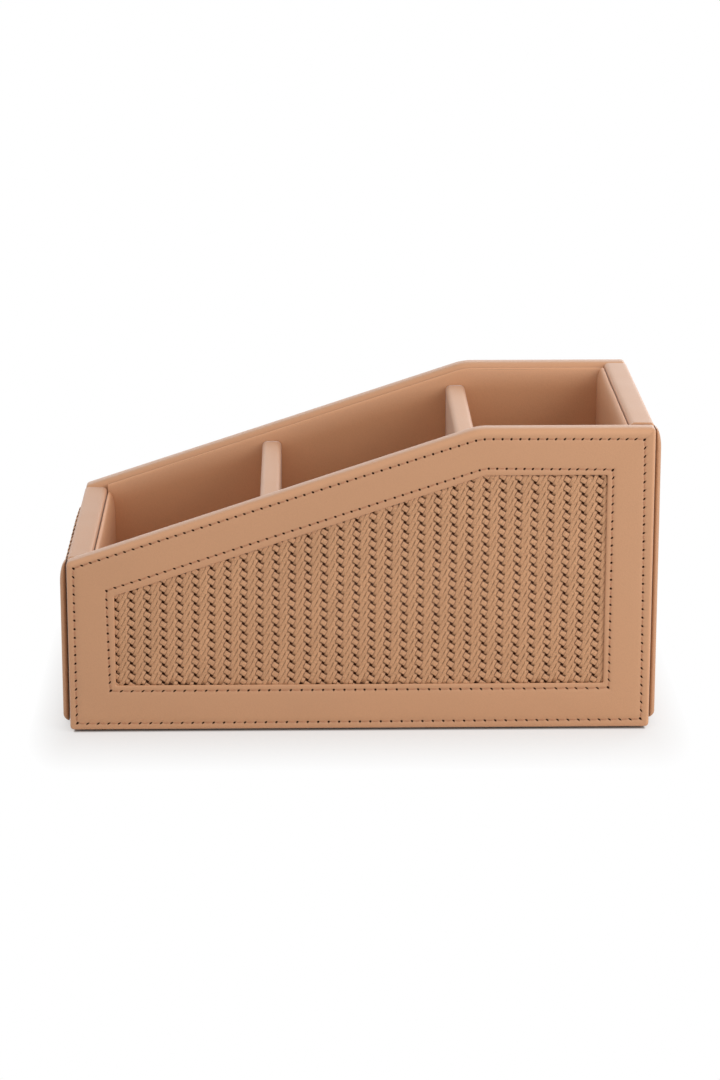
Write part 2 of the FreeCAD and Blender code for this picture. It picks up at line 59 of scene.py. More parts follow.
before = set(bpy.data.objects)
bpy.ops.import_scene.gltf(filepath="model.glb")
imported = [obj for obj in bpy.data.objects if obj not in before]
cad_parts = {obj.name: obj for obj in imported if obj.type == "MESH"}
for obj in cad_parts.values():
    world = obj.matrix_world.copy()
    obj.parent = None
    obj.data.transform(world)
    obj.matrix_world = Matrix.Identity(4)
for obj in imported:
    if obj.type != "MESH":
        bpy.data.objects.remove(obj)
CAD_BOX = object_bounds()

MM = 0.001
BODY = "root"
SIDES = (("front", -1.0), ("back", 1.0))
ENDS = (("left", -1.0), ("right", 1.0))


# Sizes and colours that a user would change

def length_of(label, text, default):
    """Length that a user can change."""
    return bpy.props.FloatProperty(name=label, description=text, default=default, unit="LENGTH")


def lengths_of(label, text, default):
    """Several lengths that a user can change together."""
    return bpy.props.FloatVectorProperty(
        name=label, description=text, size=len(default), default=default, unit="LENGTH")


def share_of(label, text, default):
    """Share of something that a user can change."""
    return bpy.props.FloatProperty(name=label, description=text, default=default, subtype="FACTOR")


def colour_of(label, text, default):
    """Colour that a user can change."""
    return bpy.props.FloatVectorProperty(
        name=label, description=text, size=len(default), default=default, subtype="COLOR")


class HolderSizes(bpy.types.PropertyGroup):
    """Sizes of the leather work that the boxes of the solids do not give."""

    bend_place: length_of(
        "Bend place", "Where the level rim turns into the slope, right of the middle", 54.6 * MM)
    slope: bpy.props.FloatProperty(
        name="Slope", description="Fall of the rim towards the left end",
        default=float(np.radians(18.32)), unit="ROTATION", subtype="ANGLE")
    bend_round: length_of("Bend round", "Radius of the bend in the rim", 30 * MM)
    corner_round: length_of("Corner round", "Radius of the other corners of a long wall", 1.7 * MM)
    leather: length_of("Leather", "Thickness of the smooth leather", 1.0 * MM)
    top_fold: length_of("Top fold", "Outer radius where the leather folds over the rim", 3.2 * MM)
    side_fold: length_of("Side fold", "Outer radius where the leather folds round the other edges", 1.5 * MM)
    inner_fold: length_of("Inner fold", "Radius where the leather turns into the box", 3.4 * MM)
    turn_in: length_of("Turn in", "Depth of the leather inside the rim", 16 * MM)
    frame_width: length_of("Frame width", "Width of the leather frame round the window", 22 * MM)
    outer_seam: lengths_of(
        "Outer seam", "Inset of the outer row of stitches at each corner, from the lower left",
        (3.2 * MM, 3.8 * MM, 5.0 * MM, 4.7 * MM, 3.2 * MM))
    inner_seam: lengths_of(
        "Inner seam", "Inset of the stitches beside the window at each corner, from the lower left",
        (19.2 * MM, 19.4 * MM, 19.4 * MM, 18.7 * MM, 18.3 * MM))
    stitch: length_of("Stitch", "Length of a stitch along the top and the sides", 4.15 * MM)
    low_stitch: length_of("Low stitch", "Length of a stitch along the bottom", 4.95 * MM)
    thread: length_of("Thread", "Width of the sewing thread", 0.55 * MM)
    needle: length_of("Needle hole", "Width of a needle hole", 1.2 * MM)
    lining_roll: length_of("Lining roll", "Height of the soft roll along the top of a lining", 11 * MM)
    divider_round: length_of("Divider round", "Radius along the top edges of a divider", 2.5 * MM)
    cover_welt: length_of(
        "Cover welt", "How far the upright edges of an end cover stand out from the end wall", 4.2 * MM)
    cover_gap: length_of("Cover gap", "Gap between an end cover and the long walls", 2.0 * MM)
    cover_slot: length_of(
        "Cover slot", "Open slot between the end wall and the upright edges of its cover", 1.2 * MM)
    cover_dish: length_of(
        "Cover dish", "How far the middle of an end cover lies below its upright edges", 2.4 * MM)
    rim_over: length_of(
        "Rim over", "How far the rim of an end wall swells out over the cover below it", 0.3 * MM)
    cover_foot: length_of("Cover foot", "Height over which an end cover thins out at its bottom", 3.0 * MM)
    cover_end: length_of("Cover end", "Height over which an end cover thins out at its top", 10.0 * MM)


class HolderWeave(bpy.types.PropertyGroup):
    """Pattern of the woven strips: rising strips pass over three falling ones and under the next."""

    start: lengths_of(
        "Start", "Place of one crossing where a falling strip shows, on a long wall",
        (5.49 * MM, 60.57 * MM))
    rise_step: lengths_of(
        "Rising step", "From one crossing to the next along a rising strip", (1.914 * MM, 3.189 * MM))
    fall_step: lengths_of(
        "Falling step", "From one crossing to the next along a falling strip", (1.858 * MM, -1.194 * MM))
    rise_fill: share_of("Rising fill", "Share of the pitch that a rising strip is wide", 0.98)
    fall_fill: share_of("Falling fill", "Share of the pitch that a falling strip is wide", 0.71)
    squeeze: share_of("Squeeze", "Share of its width that a rising strip loses where it dives", 0.19)
    sidestep: share_of(
        "Sidestep", "How far a rising strip moves aside as it dives, as a share of the pitch", 0.22)
    swing: length_of("Swing", "Rise and fall of a strip about the middle of the weave", 0.42 * MM)
    crown: length_of("Crown", "Bulge across a strip", 0.17 * MM)
    strip: length_of("Strip", "Thickness of a strip at its edges", 0.34 * MM)


class HolderColours(bpy.types.PropertyGroup):
    """Colours of the finishes, as linear red, green and blue."""

    leather: colour_of("Leather", "Smooth leather of frames, rims and dividers", (0.590, 0.298, 0.150))
    lining: colour_of("Lining", "Leather of the linings and the floor", (0.640, 0.315, 0.155))
    woven: colour_of("Woven", "Leather of the woven strips", (0.735, 0.385, 0.198))
    thread: colour_of("Thread", "Sewing thread", (0.560, 0.255, 0.135))
    # Near black: painted shade standing for the shaded inside of a needle hole, whose pit is shallow
    hole_shade: colour_of("Needle hole", "Inside of a needle hole", (0.030, 0.010, 0.005))
    felt: colour_of("Felt", "Felt under the base", (0.022, 0.016, 0.012))
    # Darker than bare fibreboard: painted shade where the board shows through gaps
    board: colour_of("Board", "Fibreboard of the walls, dividers and base", (0.150, 0.080, 0.045))
    card: colour_of("Card", "Card behind the linings and under the floor", (0.265, 0.215, 0.160))
    # Dark: painted shade where the foam shows in the slots beside the covers
    foam: colour_of("Foam", "Foam behind the woven covers", (0.045, 0.026, 0.018))
    steel: colour_of("Steel", "Brads through the end boards", (0.480, 0.480, 0.500))


# Meshes

def grid_quads(rows, columns, close_rows=False, close_columns=False):
    """Quads between neighbouring points of a grid that is numbered row by row."""
    row = np.arange(rows if close_rows else rows - 1)[:, None]
    column = np.arange(columns if close_columns else columns - 1)[None, :]
    next_row = (row + 1) % rows
    next_column = (column + 1) % columns
    corners = np.broadcast_arrays(
        row * columns + column, row * columns + next_column,
        next_row * columns + next_column, next_row * columns + column)
    return np.stack(corners, -1).reshape(-1, 4)


def signed_volume(points, faces):
    """Six times the volume inside the faces, negative where they point inwards."""
    total = 0.0
    for block in faces:
        first = points[block[:, 0]]
        for k in range(1, block.shape[1] - 1):
            total += np.einsum("ij,ij->", first, np.cross(points[block[:, k]], points[block[:, k + 1]]))
    return total


def outward(points, faces):
    """The same faces, turned round together if they enclose a negative volume."""
    if signed_volume(points, faces) < 0:
        return [block[:, ::-1] for block in faces]
    return faces


def joined(parts):
    """One set of points and faces from several, with the values of their points."""
    points = []
    faces = []
    values = []
    start = 0
    for part_points, part_faces, part_values in parts:
        points.append(part_points)
        faces += [block + start for block in part_faces]
        values.append(part_values)
        start += len(part_points)
    names = values[0].keys()
    return np.concatenate(points), faces, {name: np.concatenate([v[name] for v in values]) for name in names}


def make_piece(name, points, faces, slot, node, values=None):
    """Smooth mesh object at the origin, from points, blocks of faces and values of the points.

    A value with one number a point becomes an attribute, and one with two becomes the UV map. The piece
    rides on the body and stands for the named node, in the finish of its slot.
    """
    mesh = bpy.data.meshes.new(name)
    corners = np.concatenate([block.ravel() for block in faces]).astype(np.int32)
    counts = np.concatenate([np.full(len(block), block.shape[1]) for block in faces])
    starts = np.concatenate([[0], np.cumsum(counts)[:-1]]).astype(np.int32)
    mesh.vertices.add(len(points))
    mesh.vertices.foreach_set("co", np.asarray(points, np.float32).ravel())
    mesh.loops.add(len(corners))
    mesh.loops.foreach_set("vertex_index", corners)
    mesh.polygons.add(len(counts))
    mesh.polygons.foreach_set("loop_start", starts)
    mesh.polygons.foreach_set("use_smooth", np.ones(len(counts), bool))
    mesh.update(calc_edges=True)
    for key, numbers in (values or {}).items():
        numbers = np.asarray(numbers, np.float32)
        if numbers.ndim == 2:
            mesh.uv_layers.new(name=key).uv.foreach_set("vector", numbers[corners].ravel())
        else:
            mesh.attributes.new(key, "FLOAT", "POINT").data.foreach_set("value", numbers)
    mesh.validate()
    mesh.materials.append(finish_named(slot))
    piece = bpy.data.objects.new(name, mesh)
    bpy.context.scene.collection.objects.link(piece)
    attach(piece, BODY)
    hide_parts(node)
    return piece


def span(node, axis):
    """Least and greatest distance of a node's box from the middle, along an axis."""
    return sorted(abs(getattr(corner, axis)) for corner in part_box(node))


def smooth_step(low, high, x):
    """Rises from 0 at low to 1 at high, level at both ends."""
    t = np.clip((x - low) / (high - low), 0, 1)
    return t * t * (3 - 2 * t)


def wander(place, wave, number):
    """Slow wave between about -1 and 1 along a distance: three sines of unrelated lengths."""
    length, seed = wave
    shift = np.random.default_rng(seed + number).uniform(0, 2 * np.pi, 3)
    turns = 2 * np.pi * np.asarray(place) / length
    return (np.sin(turns + shift[0]) + np.sin(1.73 * turns + shift[1]) + np.sin(0.61 * turns + shift[2])) / 3


# The outline of a long wall

LEAST_ROUND = 0.8 * MM
LEAST_BEND = 8 * MM


class PanelOutline:
    """Outline of a long wall, anticlockwise from the lower left corner, which can be set in.

    Set in by d, each corner moves d along its mitre and is cut off by an arc. The arc keeps its centre, so
    its radius shrinks by d, until it reaches the least radius.
    """

    def __init__(self, sizes):
        low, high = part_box("front_frame_leather")
        fall = (sizes.bend_place - low.x) * np.tan(sizes.slope)
        self.corners = np.array([
            (low.x, low.z), (high.x, low.z), (high.x, high.z),
            (sizes.bend_place, high.z), (low.x, high.z - fall)])
        along = np.roll(self.corners, -1, 0) - self.corners
        along /= np.linalg.norm(along, axis=1)[:, None]
        self.normals = np.stack([along[:, 1], -along[:, 0]], 1)
        before = np.roll(self.normals, 1, 0)
        cosine = (before * self.normals).sum(1)
        self.mitres = (before + self.normals) / (1 + cosine)[:, None]
        self.start_angle = np.arctan2(before[:, 1], before[:, 0])
        self.turn = np.arccos(np.clip(cosine, -1, 1))
        self.rounds = np.array([sizes.corner_round] * 3 + [sizes.bend_round, sizes.corner_round])
        self.least = np.array([LEAST_ROUND] * 3 + [LEAST_BEND, LEAST_ROUND])

    def _arc(self, corner, normal, inset):
        """Point of a corner's arc that faces along the normal."""
        radius = np.maximum(self.rounds[corner] - inset, self.least[corner])[..., None]
        return self.corners[corner] - (inset[..., None] + radius) * self.mitres[corner] + radius * normal

    def points(self, columns, inset):
        """Points at the insets, one for each column or a grid with one row for each profile point."""
        first, second, normal, share = columns
        inset = np.broadcast_to(inset, np.broadcast_shapes(np.shape(inset), first.shape))
        start = self._arc(first, normal, inset)
        end = self._arc(second, normal, inset)
        return start + (end - start) * share[..., None]

    def pieces(self, inset):
        """Lengths of the arc of each corner and the side after it, in turn, along the outline at an inset."""
        corner = np.arange(len(self.corners))
        after = np.roll(corner, -1)
        inset = np.full(len(corner), inset)
        radius = np.maximum(self.rounds - inset, self.least)
        side = self._arc(after, self.normals, inset) - self._arc(corner, self.normals, inset)
        return np.stack([radius * self.turn, np.linalg.norm(side, axis=1)], 1).ravel()

    def middles(self, inset):
        """How far along the outline the middle of each corner is."""
        lengths = self.pieces(inset)
        ends = np.cumsum(lengths)
        return (ends - lengths / 2)[0::2]

    def columns(self, inset, places):
        """Corner before, corner after, normal and share between them, for places along the outline."""
        lengths = self.pieces(inset)
        ends = np.cumsum(lengths)
        places = np.mod(places, ends[-1])
        piece = np.searchsorted(ends, places, side="right")
        local = (places - (ends - lengths)[piece]) / lengths[piece]
        corner = piece // 2
        on_side = piece % 2 == 1
        angle = self.start_angle[corner] + self.turn[corner] * np.where(on_side, 1.0, local)
        normal = np.stack([np.cos(angle), np.sin(angle)], -1)
        after = np.where(on_side, (corner + 1) % len(self.corners), corner)
        return corner, after, normal, np.where(on_side, local, 0.0)

    def runs(self, inset):
        """Start and end of the bottom, right, top and left runs of a seam, the top one over the bend."""
        middles = self.middles(inset)
        total = self.pieces(inset).sum()
        return ((middles[0], middles[1]), (middles[1], middles[2]),
                (middles[2], middles[4]), (middles[4], middles[0] + total))

    def rim_height(self, x, inset):
        """Height of the rim above each x: level, then an arc of the bend, then the slope."""
        radius = max(self.rounds[3] - inset, self.least[3])
        centre = self.corners[3] - (inset + radius) * self.mitres[3]
        normal = self.normals[3]
        tangent = centre + radius * normal
        bend = centre[1] + np.sqrt(np.maximum(radius ** 2 - (x - centre[0]) ** 2, 0))
        sloped = tangent[1] - (x - tangent[0]) * normal[0] / normal[1]
        return np.where(x > centre[0], centre[1] + radius, np.where(x > tangent[0], bend, sloped))

    def inside(self, x, z, inset):
        """Whether points lie within the outline at an inset, its corners left square."""
        offset = np.stack([x, z], -1)[..., None, :] - self.corners
        return ((offset * self.normals).sum(-1) < -inset).all(-1)


def along_corners(values, columns):
    """Value at each column, from one for each corner, in a straight line along the sides."""
    first, second, _, share = columns
    values = np.array(values)
    return values[first] + (values[second] - values[first]) * share


def needle_places(outline, inset, pitch, low_pitch):
    """Places of the needle holes along a seam: each run has whole stitches, with a hole at each corner."""
    places = []
    for k, (start, end) in enumerate(outline.runs(inset)):
        count = int(round((end - start) / (low_pitch if k == 0 else pitch)))
        places.append(start + (end - start) * np.arange(count) / count)
    return np.concatenate(places)


# Finishes

WHITE = (1.0, 1.0, 1.0)
# Painted shade in the gaps of the weave: on sunk strips, at the ends and edges of falling strips and on the
# backing
GAP_SHADE = (0.140, 0.044, 0.015)
LEATHER_SHINE = 0.7


class NodeTree:
    """Short ways to add and join the nodes of a material or a world."""

    def __init__(self, owner):
        owner.use_nodes = True
        self.nodes = owner.node_tree.nodes
        self.links = owner.node_tree.links

    def put(self, value, socket):
        """Join an output to an input, or give the input a number, a vector or a colour."""
        if isinstance(value, bpy.types.NodeSocket):
            self.links.new(value, socket)
        elif socket.type == "RGBA":
            socket.default_value = (*value, 1.0)
        else:
            socket.default_value = value

    def fill(self, node, **settings):
        """Set properties and inputs of a node by name."""
        for key, value in settings.items():
            if hasattr(node, key):
                setattr(node, key, value)
            else:
                self.put(value, node.inputs[key.replace("_", " ")])

    def add(self, kind, *values, out=0, **settings):
        """One output of a new node, whose first inputs are given in turn and the others by name."""
        node = self.nodes.new(f"ShaderNode{kind}")
        self.fill(node, **settings)
        for value, socket in zip(values, node.inputs):
            self.put(value, socket)
        return node.outputs[out]

    def mix(self, share, first, second):
        """Colour between two, each an output or a colour."""
        node = self.nodes.new("ShaderNodeMix")
        node.data_type = "RGBA"
        for place, value in ((0, share), (6, first), (7, second)):
            self.put(value, node.inputs[place])
        return node.outputs[2]

    def scaled(self, value, low, high):
        """Output of 0 to 1 carried to another range."""
        return self.add("MapRange", Value=value, To_Min=low, To_Max=high)

    def attribute(self, name):
        """Value that the mesh carries at its points."""
        return self.add("Attribute", attribute_name=name, out="Fac")

    def place(self):
        """Place in the object's own coordinates."""
        return self.add("TexCoord", out="Object")


def new_finish(name):
    """Material with its tree of nodes and its shader."""
    material = bpy.data.materials.new(name)
    tree = NodeTree(material)
    return material, tree, tree.nodes["Principled BSDF"]


def times(colour, factor):
    """Colour made lighter or darker."""
    return tuple(min(channel * factor, 1.0) for channel in colour)


def leather_finish(name, colour, hole_shade=None):
    """Smooth leather: faint clouds, fine pebble grain, paler folds that are partly worn and partly a painted
    highlight, seam grooves darkened by painted shade, and needle holes of painted shade.
    """
    material, tree, shader = new_finish(name)
    where = tree.place()
    clouds = tree.add("TexNoise", Vector=where, Scale=22.0, Detail=3.0)
    pebble = tree.add("TexVoronoi", feature="SMOOTH_F1", Vector=where, Scale=1350.0, Smoothness=0.7)
    pores = tree.add("TexNoise", Vector=where, Scale=2600.0, Detail=4.0)
    tone = tree.mix(clouds, times(colour, 0.94), times(colour, 1.06))
    tone = tree.mix(tree.scaled(pebble, 0.0, 0.35), tone, times(colour, 0.80))
    tone = tree.mix(tree.scaled(pores, 0.0, 0.16), tone, times(colour, 1.25))
    # Paler along folds and lips: partly stretched, worn leather and partly a painted highlight
    tone = tree.mix(tree.scaled(tree.attribute("fold"), 0.0, 0.40), tone, times(colour, 1.35))
    shine = LEATHER_SHINE
    sheen = 0.06
    if hole_shade is not None:
        # Darker in the seam grooves: painted shade
        tone = tree.mix(tree.scaled(tree.attribute("seam"), 0.0, 0.35), tone, times(colour, 0.72))
        # Near black around each needle hole: painted shade for the inside of the hole
        away = tree.add("VectorMath", tree.add("UVMap", uv_map="needle"), operation="LENGTH", out="Value")
        dark = tree.add("MapRange", Value=away, From_Min=1.15, From_Max=0.75)
        tone = tree.mix(dark, tone, hole_shade)
        shine = tree.scaled(dark, LEATHER_SHINE, 0.0)
        sheen = 0.38
    fine = tree.add("Bump", Height=pores, Strength=0.35, Distance=0.05 * MM)
    grain = tree.add("Bump", Height=pebble, Strength=0.45, Distance=0.06 * MM, invert=True, Normal=fine)
    tree.fill(shader, Base_Color=tone, Roughness=tree.scaled(clouds, 0.44, 0.58), Specular_IOR_Level=shine,
              Sheen_Weight=sheen, Sheen_Roughness=0.35, Normal=grain)
    return material


def woven_finish(name, colour):
    """Leather strips: fine ridges along each strip, darker edges, a tone that differs by strip, and painted
    shade in the gaps.
    """
    material, tree, shader = new_finish(name)
    strip = tree.add("UVMap", uv_map="strip")
    across = tree.add("SeparateXYZ", strip, out="Y")
    ridges = tree.add("Math", tree.add("Math", across, 13.0, operation="MULTIPLY"), operation="SINE")
    stretched = tree.add("Mapping", strip, Scale=(750.0, 1.8, 1.0))
    grain = tree.add("TexNoise", Vector=stretched, Scale=1.6, Detail=4.0, Roughness=0.6)
    flecks = tree.add("MapRange", Value=grain, From_Min=0.42, From_Max=0.62, To_Max=0.9)
    clouds = tree.add("TexNoise", Vector=tree.place(), Scale=24.0, Detail=2.0)
    edge = tree.add("Math", tree.add("Math", across, operation="ABSOLUTE"), 4.0, operation="POWER")
    tone = tree.mix(clouds, times(colour, 0.94), times(colour, 1.06))
    tone = tree.mix(flecks, tone, times(colour, 0.62))
    tone = tree.mix(tree.scaled(edge, 0.0, 0.04), tone, times(colour, 0.45))
    # Painted shade from the shade attribute, which also carries each strip's own random tone
    tone = tree.mix(tree.attribute("shade"), tone, GAP_SHADE)
    ridged = tree.add("Bump", Height=ridges, Strength=0.5, Distance=0.06 * MM)
    rough = tree.add("Bump", Height=grain, Strength=0.5, Distance=0.09 * MM, Normal=ridged)
    tree.fill(shader, Base_Color=tone, Roughness=tree.scaled(grain, 0.46, 0.66), Normal=rough)
    return material


def thread_finish(name, colour):
    """Twisted thread: slanting dark lines of painted shade between its plies, matt."""
    material, tree, shader = new_finish(name)
    strand = tree.add("UVMap", uv_map="strand")
    twist = tree.add("TexWave", bands_direction="DIAGONAL", Vector=strand, Scale=2.0, Distortion=0.6,
                     out="Fac")
    tone = tree.mix(twist, times(colour, 0.74), times(colour, 1.16))
    bump = tree.add("Bump", Height=twist, Strength=0.5, Distance=0.08 * MM)
    tree.fill(shader, Base_Color=tone, Roughness=0.72, Normal=bump)
    return material


def speckled_finish(name, colour, scale, contrast, relief, roughness, metal):
    """Noise of two scales in tone and relief, for felt, board, card, foam and bright wire."""
    material, tree, shader = new_finish(name)
    where = tree.place()
    coarse = tree.add("TexNoise", Vector=where, Scale=scale, Detail=4.0, Roughness=0.65)
    fine = tree.add("TexNoise", Vector=where, Scale=5.0 * scale, Detail=3.0)
    tone = tree.mix(coarse, times(colour, 1 - contrast), times(colour, 1 + contrast))
    tone = tree.mix(tree.scaled(fine, 0.0, contrast), tone, times(colour, 0.6))
    bump = tree.add("Bump", Height=fine, Strength=0.6, Distance=relief)
    tree.fill(shader, Base_Color=tone, Roughness=tree.scaled(fine, roughness - 0.08, roughness + 0.08),
              Metallic=metal, Normal=bump)
    return material


# Scale, contrast, relief, roughness and metal of the speckled finishes
SPECKLES = {
    "felt": (700.0, 0.35, 0.3 * MM, 0.9, 0.0),
    "board": (420.0, 0.25, 0.1 * MM, 0.8, 0.0),
    "card": (500.0, 0.15, 0.05 * MM, 0.85, 0.0),
    "foam": (900.0, 0.2, 0.3 * MM, 0.9, 0.0),
    "steel": (900.0, 0.1, 0.01 * MM, 0.32, 1.0),
}


def finish_named(slot):
    """Finish of a slot, made when it is first asked for, under a name of its own."""
    colours = bpy.context.scene.holder_colours
    name = f"{slot}_finish"
    if name in bpy.data.materials:
        return bpy.data.materials[name]
    if slot == "smooth_leather":
        return leather_finish(name, tuple(colours.leather), tuple(colours.hole_shade))
    if slot == "lining_leather":
        return leather_finish(name, tuple(colours.lining))
    if slot == "woven_leather":
        return woven_finish(name, tuple(colours.woven))
    if slot == "thread":
        return thread_finish(name, tuple(colours.thread))
    return speckled_finish(name, tuple(getattr(colours, slot)), *SPECKLES[slot])


# Leather frames and their stitches

STITCH_SHARES = np.array([0.0, 0.08, 0.16, 0.32, 0.5, 0.68, 0.84, 0.92])
CORNER_SHARES = np.array([-0.5, -0.3, 0.3, 0.5])
SEAM_ROWS = np.array([0.72, 0.36, 0.0, -0.36, -0.72]) * MM
FAR_FROM_NEEDLE = 9.0
# Least distance of a corner's own columns from the others
COLUMN_GAP = 0.12 * MM
# Insets of the rows of points beside the window and between the seams
WINDOW_ROWS = np.array([20.9, 20.3]) * MM
FACE_ROWS = np.array([17.2, 15.5, 13.0, 10.5, 8.0, 6.4]) * MM
GROOVE_WIDTH = 0.42 * MM
GROOVE_DEPTH = 0.24 * MM
PIT_DEPTH = 0.22 * MM
# Shares of a needle hole's width between which its pit ends
PIT_RAMP = (0.25, 0.62)
# Swell of the face between the seams and beside the window, and its slow waves along the wall
FACE_SWELL = 0.14 * MM
WINDOW_SWELL = 0.10 * MM
FACE_WAVE = 0.06 * MM
# Upward parts of the normal between which the fold widens to that of the rim
RIM_NORMAL = (0.3, 0.9)
# Clearance added to the leather's thickness on its hidden side
SKIN_GAP = 0.02 * MM
# Inset of the first point down the turn-in, and least distance of the fold from the seam
TURN_IN_START = 6 * MM
FOLD_GAP = 0.1 * MM
# Distance from a seam within which a point can be in a needle hole
SEAM_REACH = 2 * MM


def frame_columns(outline, sizes):
    """Places of the frame's columns along the outer seam, and which of them are needle holes.

    Each stitch has eight columns, closer beside its holes, and each corner has a few more for its arc.
    """
    inset = np.mean(sizes.outer_seam)
    holes = needle_places(outline, inset, sizes.stitch, sizes.low_stitch)
    total = outline.pieces(inset).sum()
    pitch = np.diff(np.append(holes, holes[0] + total))
    places = (holes[:, None] + pitch[:, None] * STITCH_SHARES).ravel()
    is_hole = np.tile(STITCH_SHARES == 0, len(holes))
    arcs = outline.pieces(inset)[0::2]
    more = (outline.middles(inset)[:, None] + arcs[:, None] * CORNER_SHARES).ravel()
    more = np.where(more < places[0], more + total, more)
    clear = np.abs(more[:, None] - places).min(1) > COLUMN_GAP
    places = np.concatenate([places, more[clear]])
    is_hole = np.concatenate([is_hole, np.zeros(clear.sum(), bool)])
    order = np.argsort(places)
    return places[order], is_hole[order]


def inner_holes(outline, sizes, columns):
    """Columns that are nearest to the needle holes of the seam beside the window."""
    line = outline.points(columns, along_corners(sizes.inner_seam, columns))
    inset = np.mean(sizes.inner_seam)
    wanted = outline.columns(inset, needle_places(outline, inset, sizes.stitch, sizes.low_stitch))
    spots = outline.points(wanted, along_corners(sizes.inner_seam, wanted))
    distance = np.linalg.norm(spots[:, None, :] - line[None, :, :], axis=2)
    return np.unique(distance.argmin(1))


def frame_face(outline, sizes, columns, places, seams):
    """Insets and dips of the face's rows, and how near each point is to a seam and to a needle hole.

    Between the seams the face swells as a power of a sine. Each seam is a groove with the section of a bell
    curve, and each needle hole a small pit. Seams are given as insets and the columns of their holes.
    """
    inner_inset, outer_inset = (inset for inset, _ in seams)
    flat = np.ones(len(places))
    face = np.concatenate([
        np.outer(WINDOW_ROWS, flat), inner_inset + SEAM_ROWS[:, None],
        np.outer(FACE_ROWS, flat), outer_inset + SEAM_ROWS[:, None]])
    between = np.clip((face - outer_inset) / (inner_inset - outer_inset), 0, 1)
    beside = np.clip((face - inner_inset) / (sizes.frame_width - inner_inset), 0, 1)
    swell = FACE_SWELL * np.sin(np.pi * between) ** 0.7 + WINDOW_SWELL * np.sin(np.pi * beside)
    turns = 2 * np.pi * places / outline.pieces(np.mean(sizes.outer_seam)).sum()
    wave = FACE_WAVE * np.sin(np.pi * between) * (np.sin(11 * turns) + np.sin(17 * turns + 1.3)) / 2
    dip = wave - swell
    in_seam = np.zeros_like(face)
    needle = np.full((*face.shape, 2), FAR_FROM_NEEDLE)
    for inset, holes in seams:
        line = outline.points(columns, inset)
        away = np.linalg.norm(line[:, None, :] - line[None, holes, :], axis=2).min(1)
        across = face - inset
        near = np.abs(across) < SEAM_REACH
        groove = np.exp(-(across / GROOVE_WIDTH) ** 2)
        pit = 1 - smooth_step(*PIT_RAMP, np.hypot(across, away) / sizes.needle)
        dip += GROOVE_DEPTH * groove + PIT_DEPTH * pit
        in_seam += groove
        offset = np.stack([np.broadcast_to(away, face.shape), across], -1) * 2 / sizes.needle
        needle = np.where(near[..., None], offset, needle)
    return face, dip, in_seam, needle


def frame_profile(outline, sizes, columns, places, outer, inner, depth):
    """Insets, depths below the outer face, and wear with a painted highlight along the folds, on a grid of
    profile points by columns.

    The profile runs from the window's turned edge across the face, over a quarter round fold, across the
    thickness, round the inner fold, down the turn-in and back under the leather.
    """
    outer_inset = along_corners(sizes.outer_seam, columns)
    inner_inset = along_corners(sizes.inner_seam, columns)
    upward = smooth_step(*RIM_NORMAL, columns[2][:, 1])
    fold = sizes.side_fold + (sizes.top_fold - sizes.side_fold) * upward
    fold = np.minimum(fold, outer_inset + SEAM_ROWS.min() - FOLD_GAP)
    bead = sizes.leather / 2
    under = sizes.leather + SKIN_GAP
    turn_in = sizes.turn_in
    rows = []
    for angle in np.radians([-90, -45, 0, 45, 90]):
        edge = sizes.frame_width - bead + bead * np.cos(angle)
        rows.append((edge, bead - bead * np.sin(angle), np.cos(angle)))
    lead = len(rows)
    seams = ((inner_inset, inner), (outer_inset, outer))
    face, dip, in_seam, needle = frame_face(outline, sizes, columns, places, seams)
    rows += [(inset, sink, 0.0) for inset, sink in zip(face, dip)]
    for angle in np.radians([0, 18, 36, 54, 72, 90]):
        rows.append((fold * (1 - np.sin(angle)), fold * (1 - np.cos(angle)), np.sin(2 * angle)))
    rows.append((0.0, depth / 2, 0.0))
    for angle in np.radians([0, 22, 45, 68, 90]):
        inset = sizes.inner_fold * (1 - np.cos(angle))
        rows.append((inset, depth - sizes.inner_fold * (1 - np.sin(angle)), np.sin(2 * angle)))
    hidden = (
        (TURN_IN_START, depth), (turn_in - bead, depth), (turn_in, depth - bead),
        (turn_in - bead, depth - under), (under, depth - under), (under, depth / 2),
        (under, under), (turn_in, under))
    rows += [(inset, sink, 0.0) for inset, sink in hidden]
    across_columns = [[np.broadcast_to(value, len(places)) for value in row] for row in rows]
    # Third value of each row: how much paler the point is, partly worn leather and partly a painted highlight
    # along the folds
    inset, sink, wear_and_highlight = np.array(across_columns).swapaxes(0, 1)
    values = plain_leather(inset.size, wear_and_highlight.ravel())
    on_face = slice(lead * len(places), (lead + len(face)) * len(places))
    values["seam"][on_face] = in_seam.ravel()
    values["needle"][on_face] = needle.reshape(-1, 2)
    return inset, sink, values


def plain_leather(count, fold=0.0):
    """Values for smooth leather without a seam: how much each point is folded, and no needle hole near."""
    return {"fold": np.broadcast_to(fold, count), "seam": np.zeros(count),
            "needle": np.full((count, 2), FAR_FROM_NEEDLE)}


def frame_layout(sizes):
    """Outline of a long wall, places and columns of its frame, and the columns of its two rows of holes."""
    outline = PanelOutline(sizes)
    places, is_hole = frame_columns(outline, sizes)
    columns = outline.columns(np.mean(sizes.outer_seam), places)
    return outline, places, columns, np.flatnonzero(is_hole), inner_holes(outline, sizes, columns)


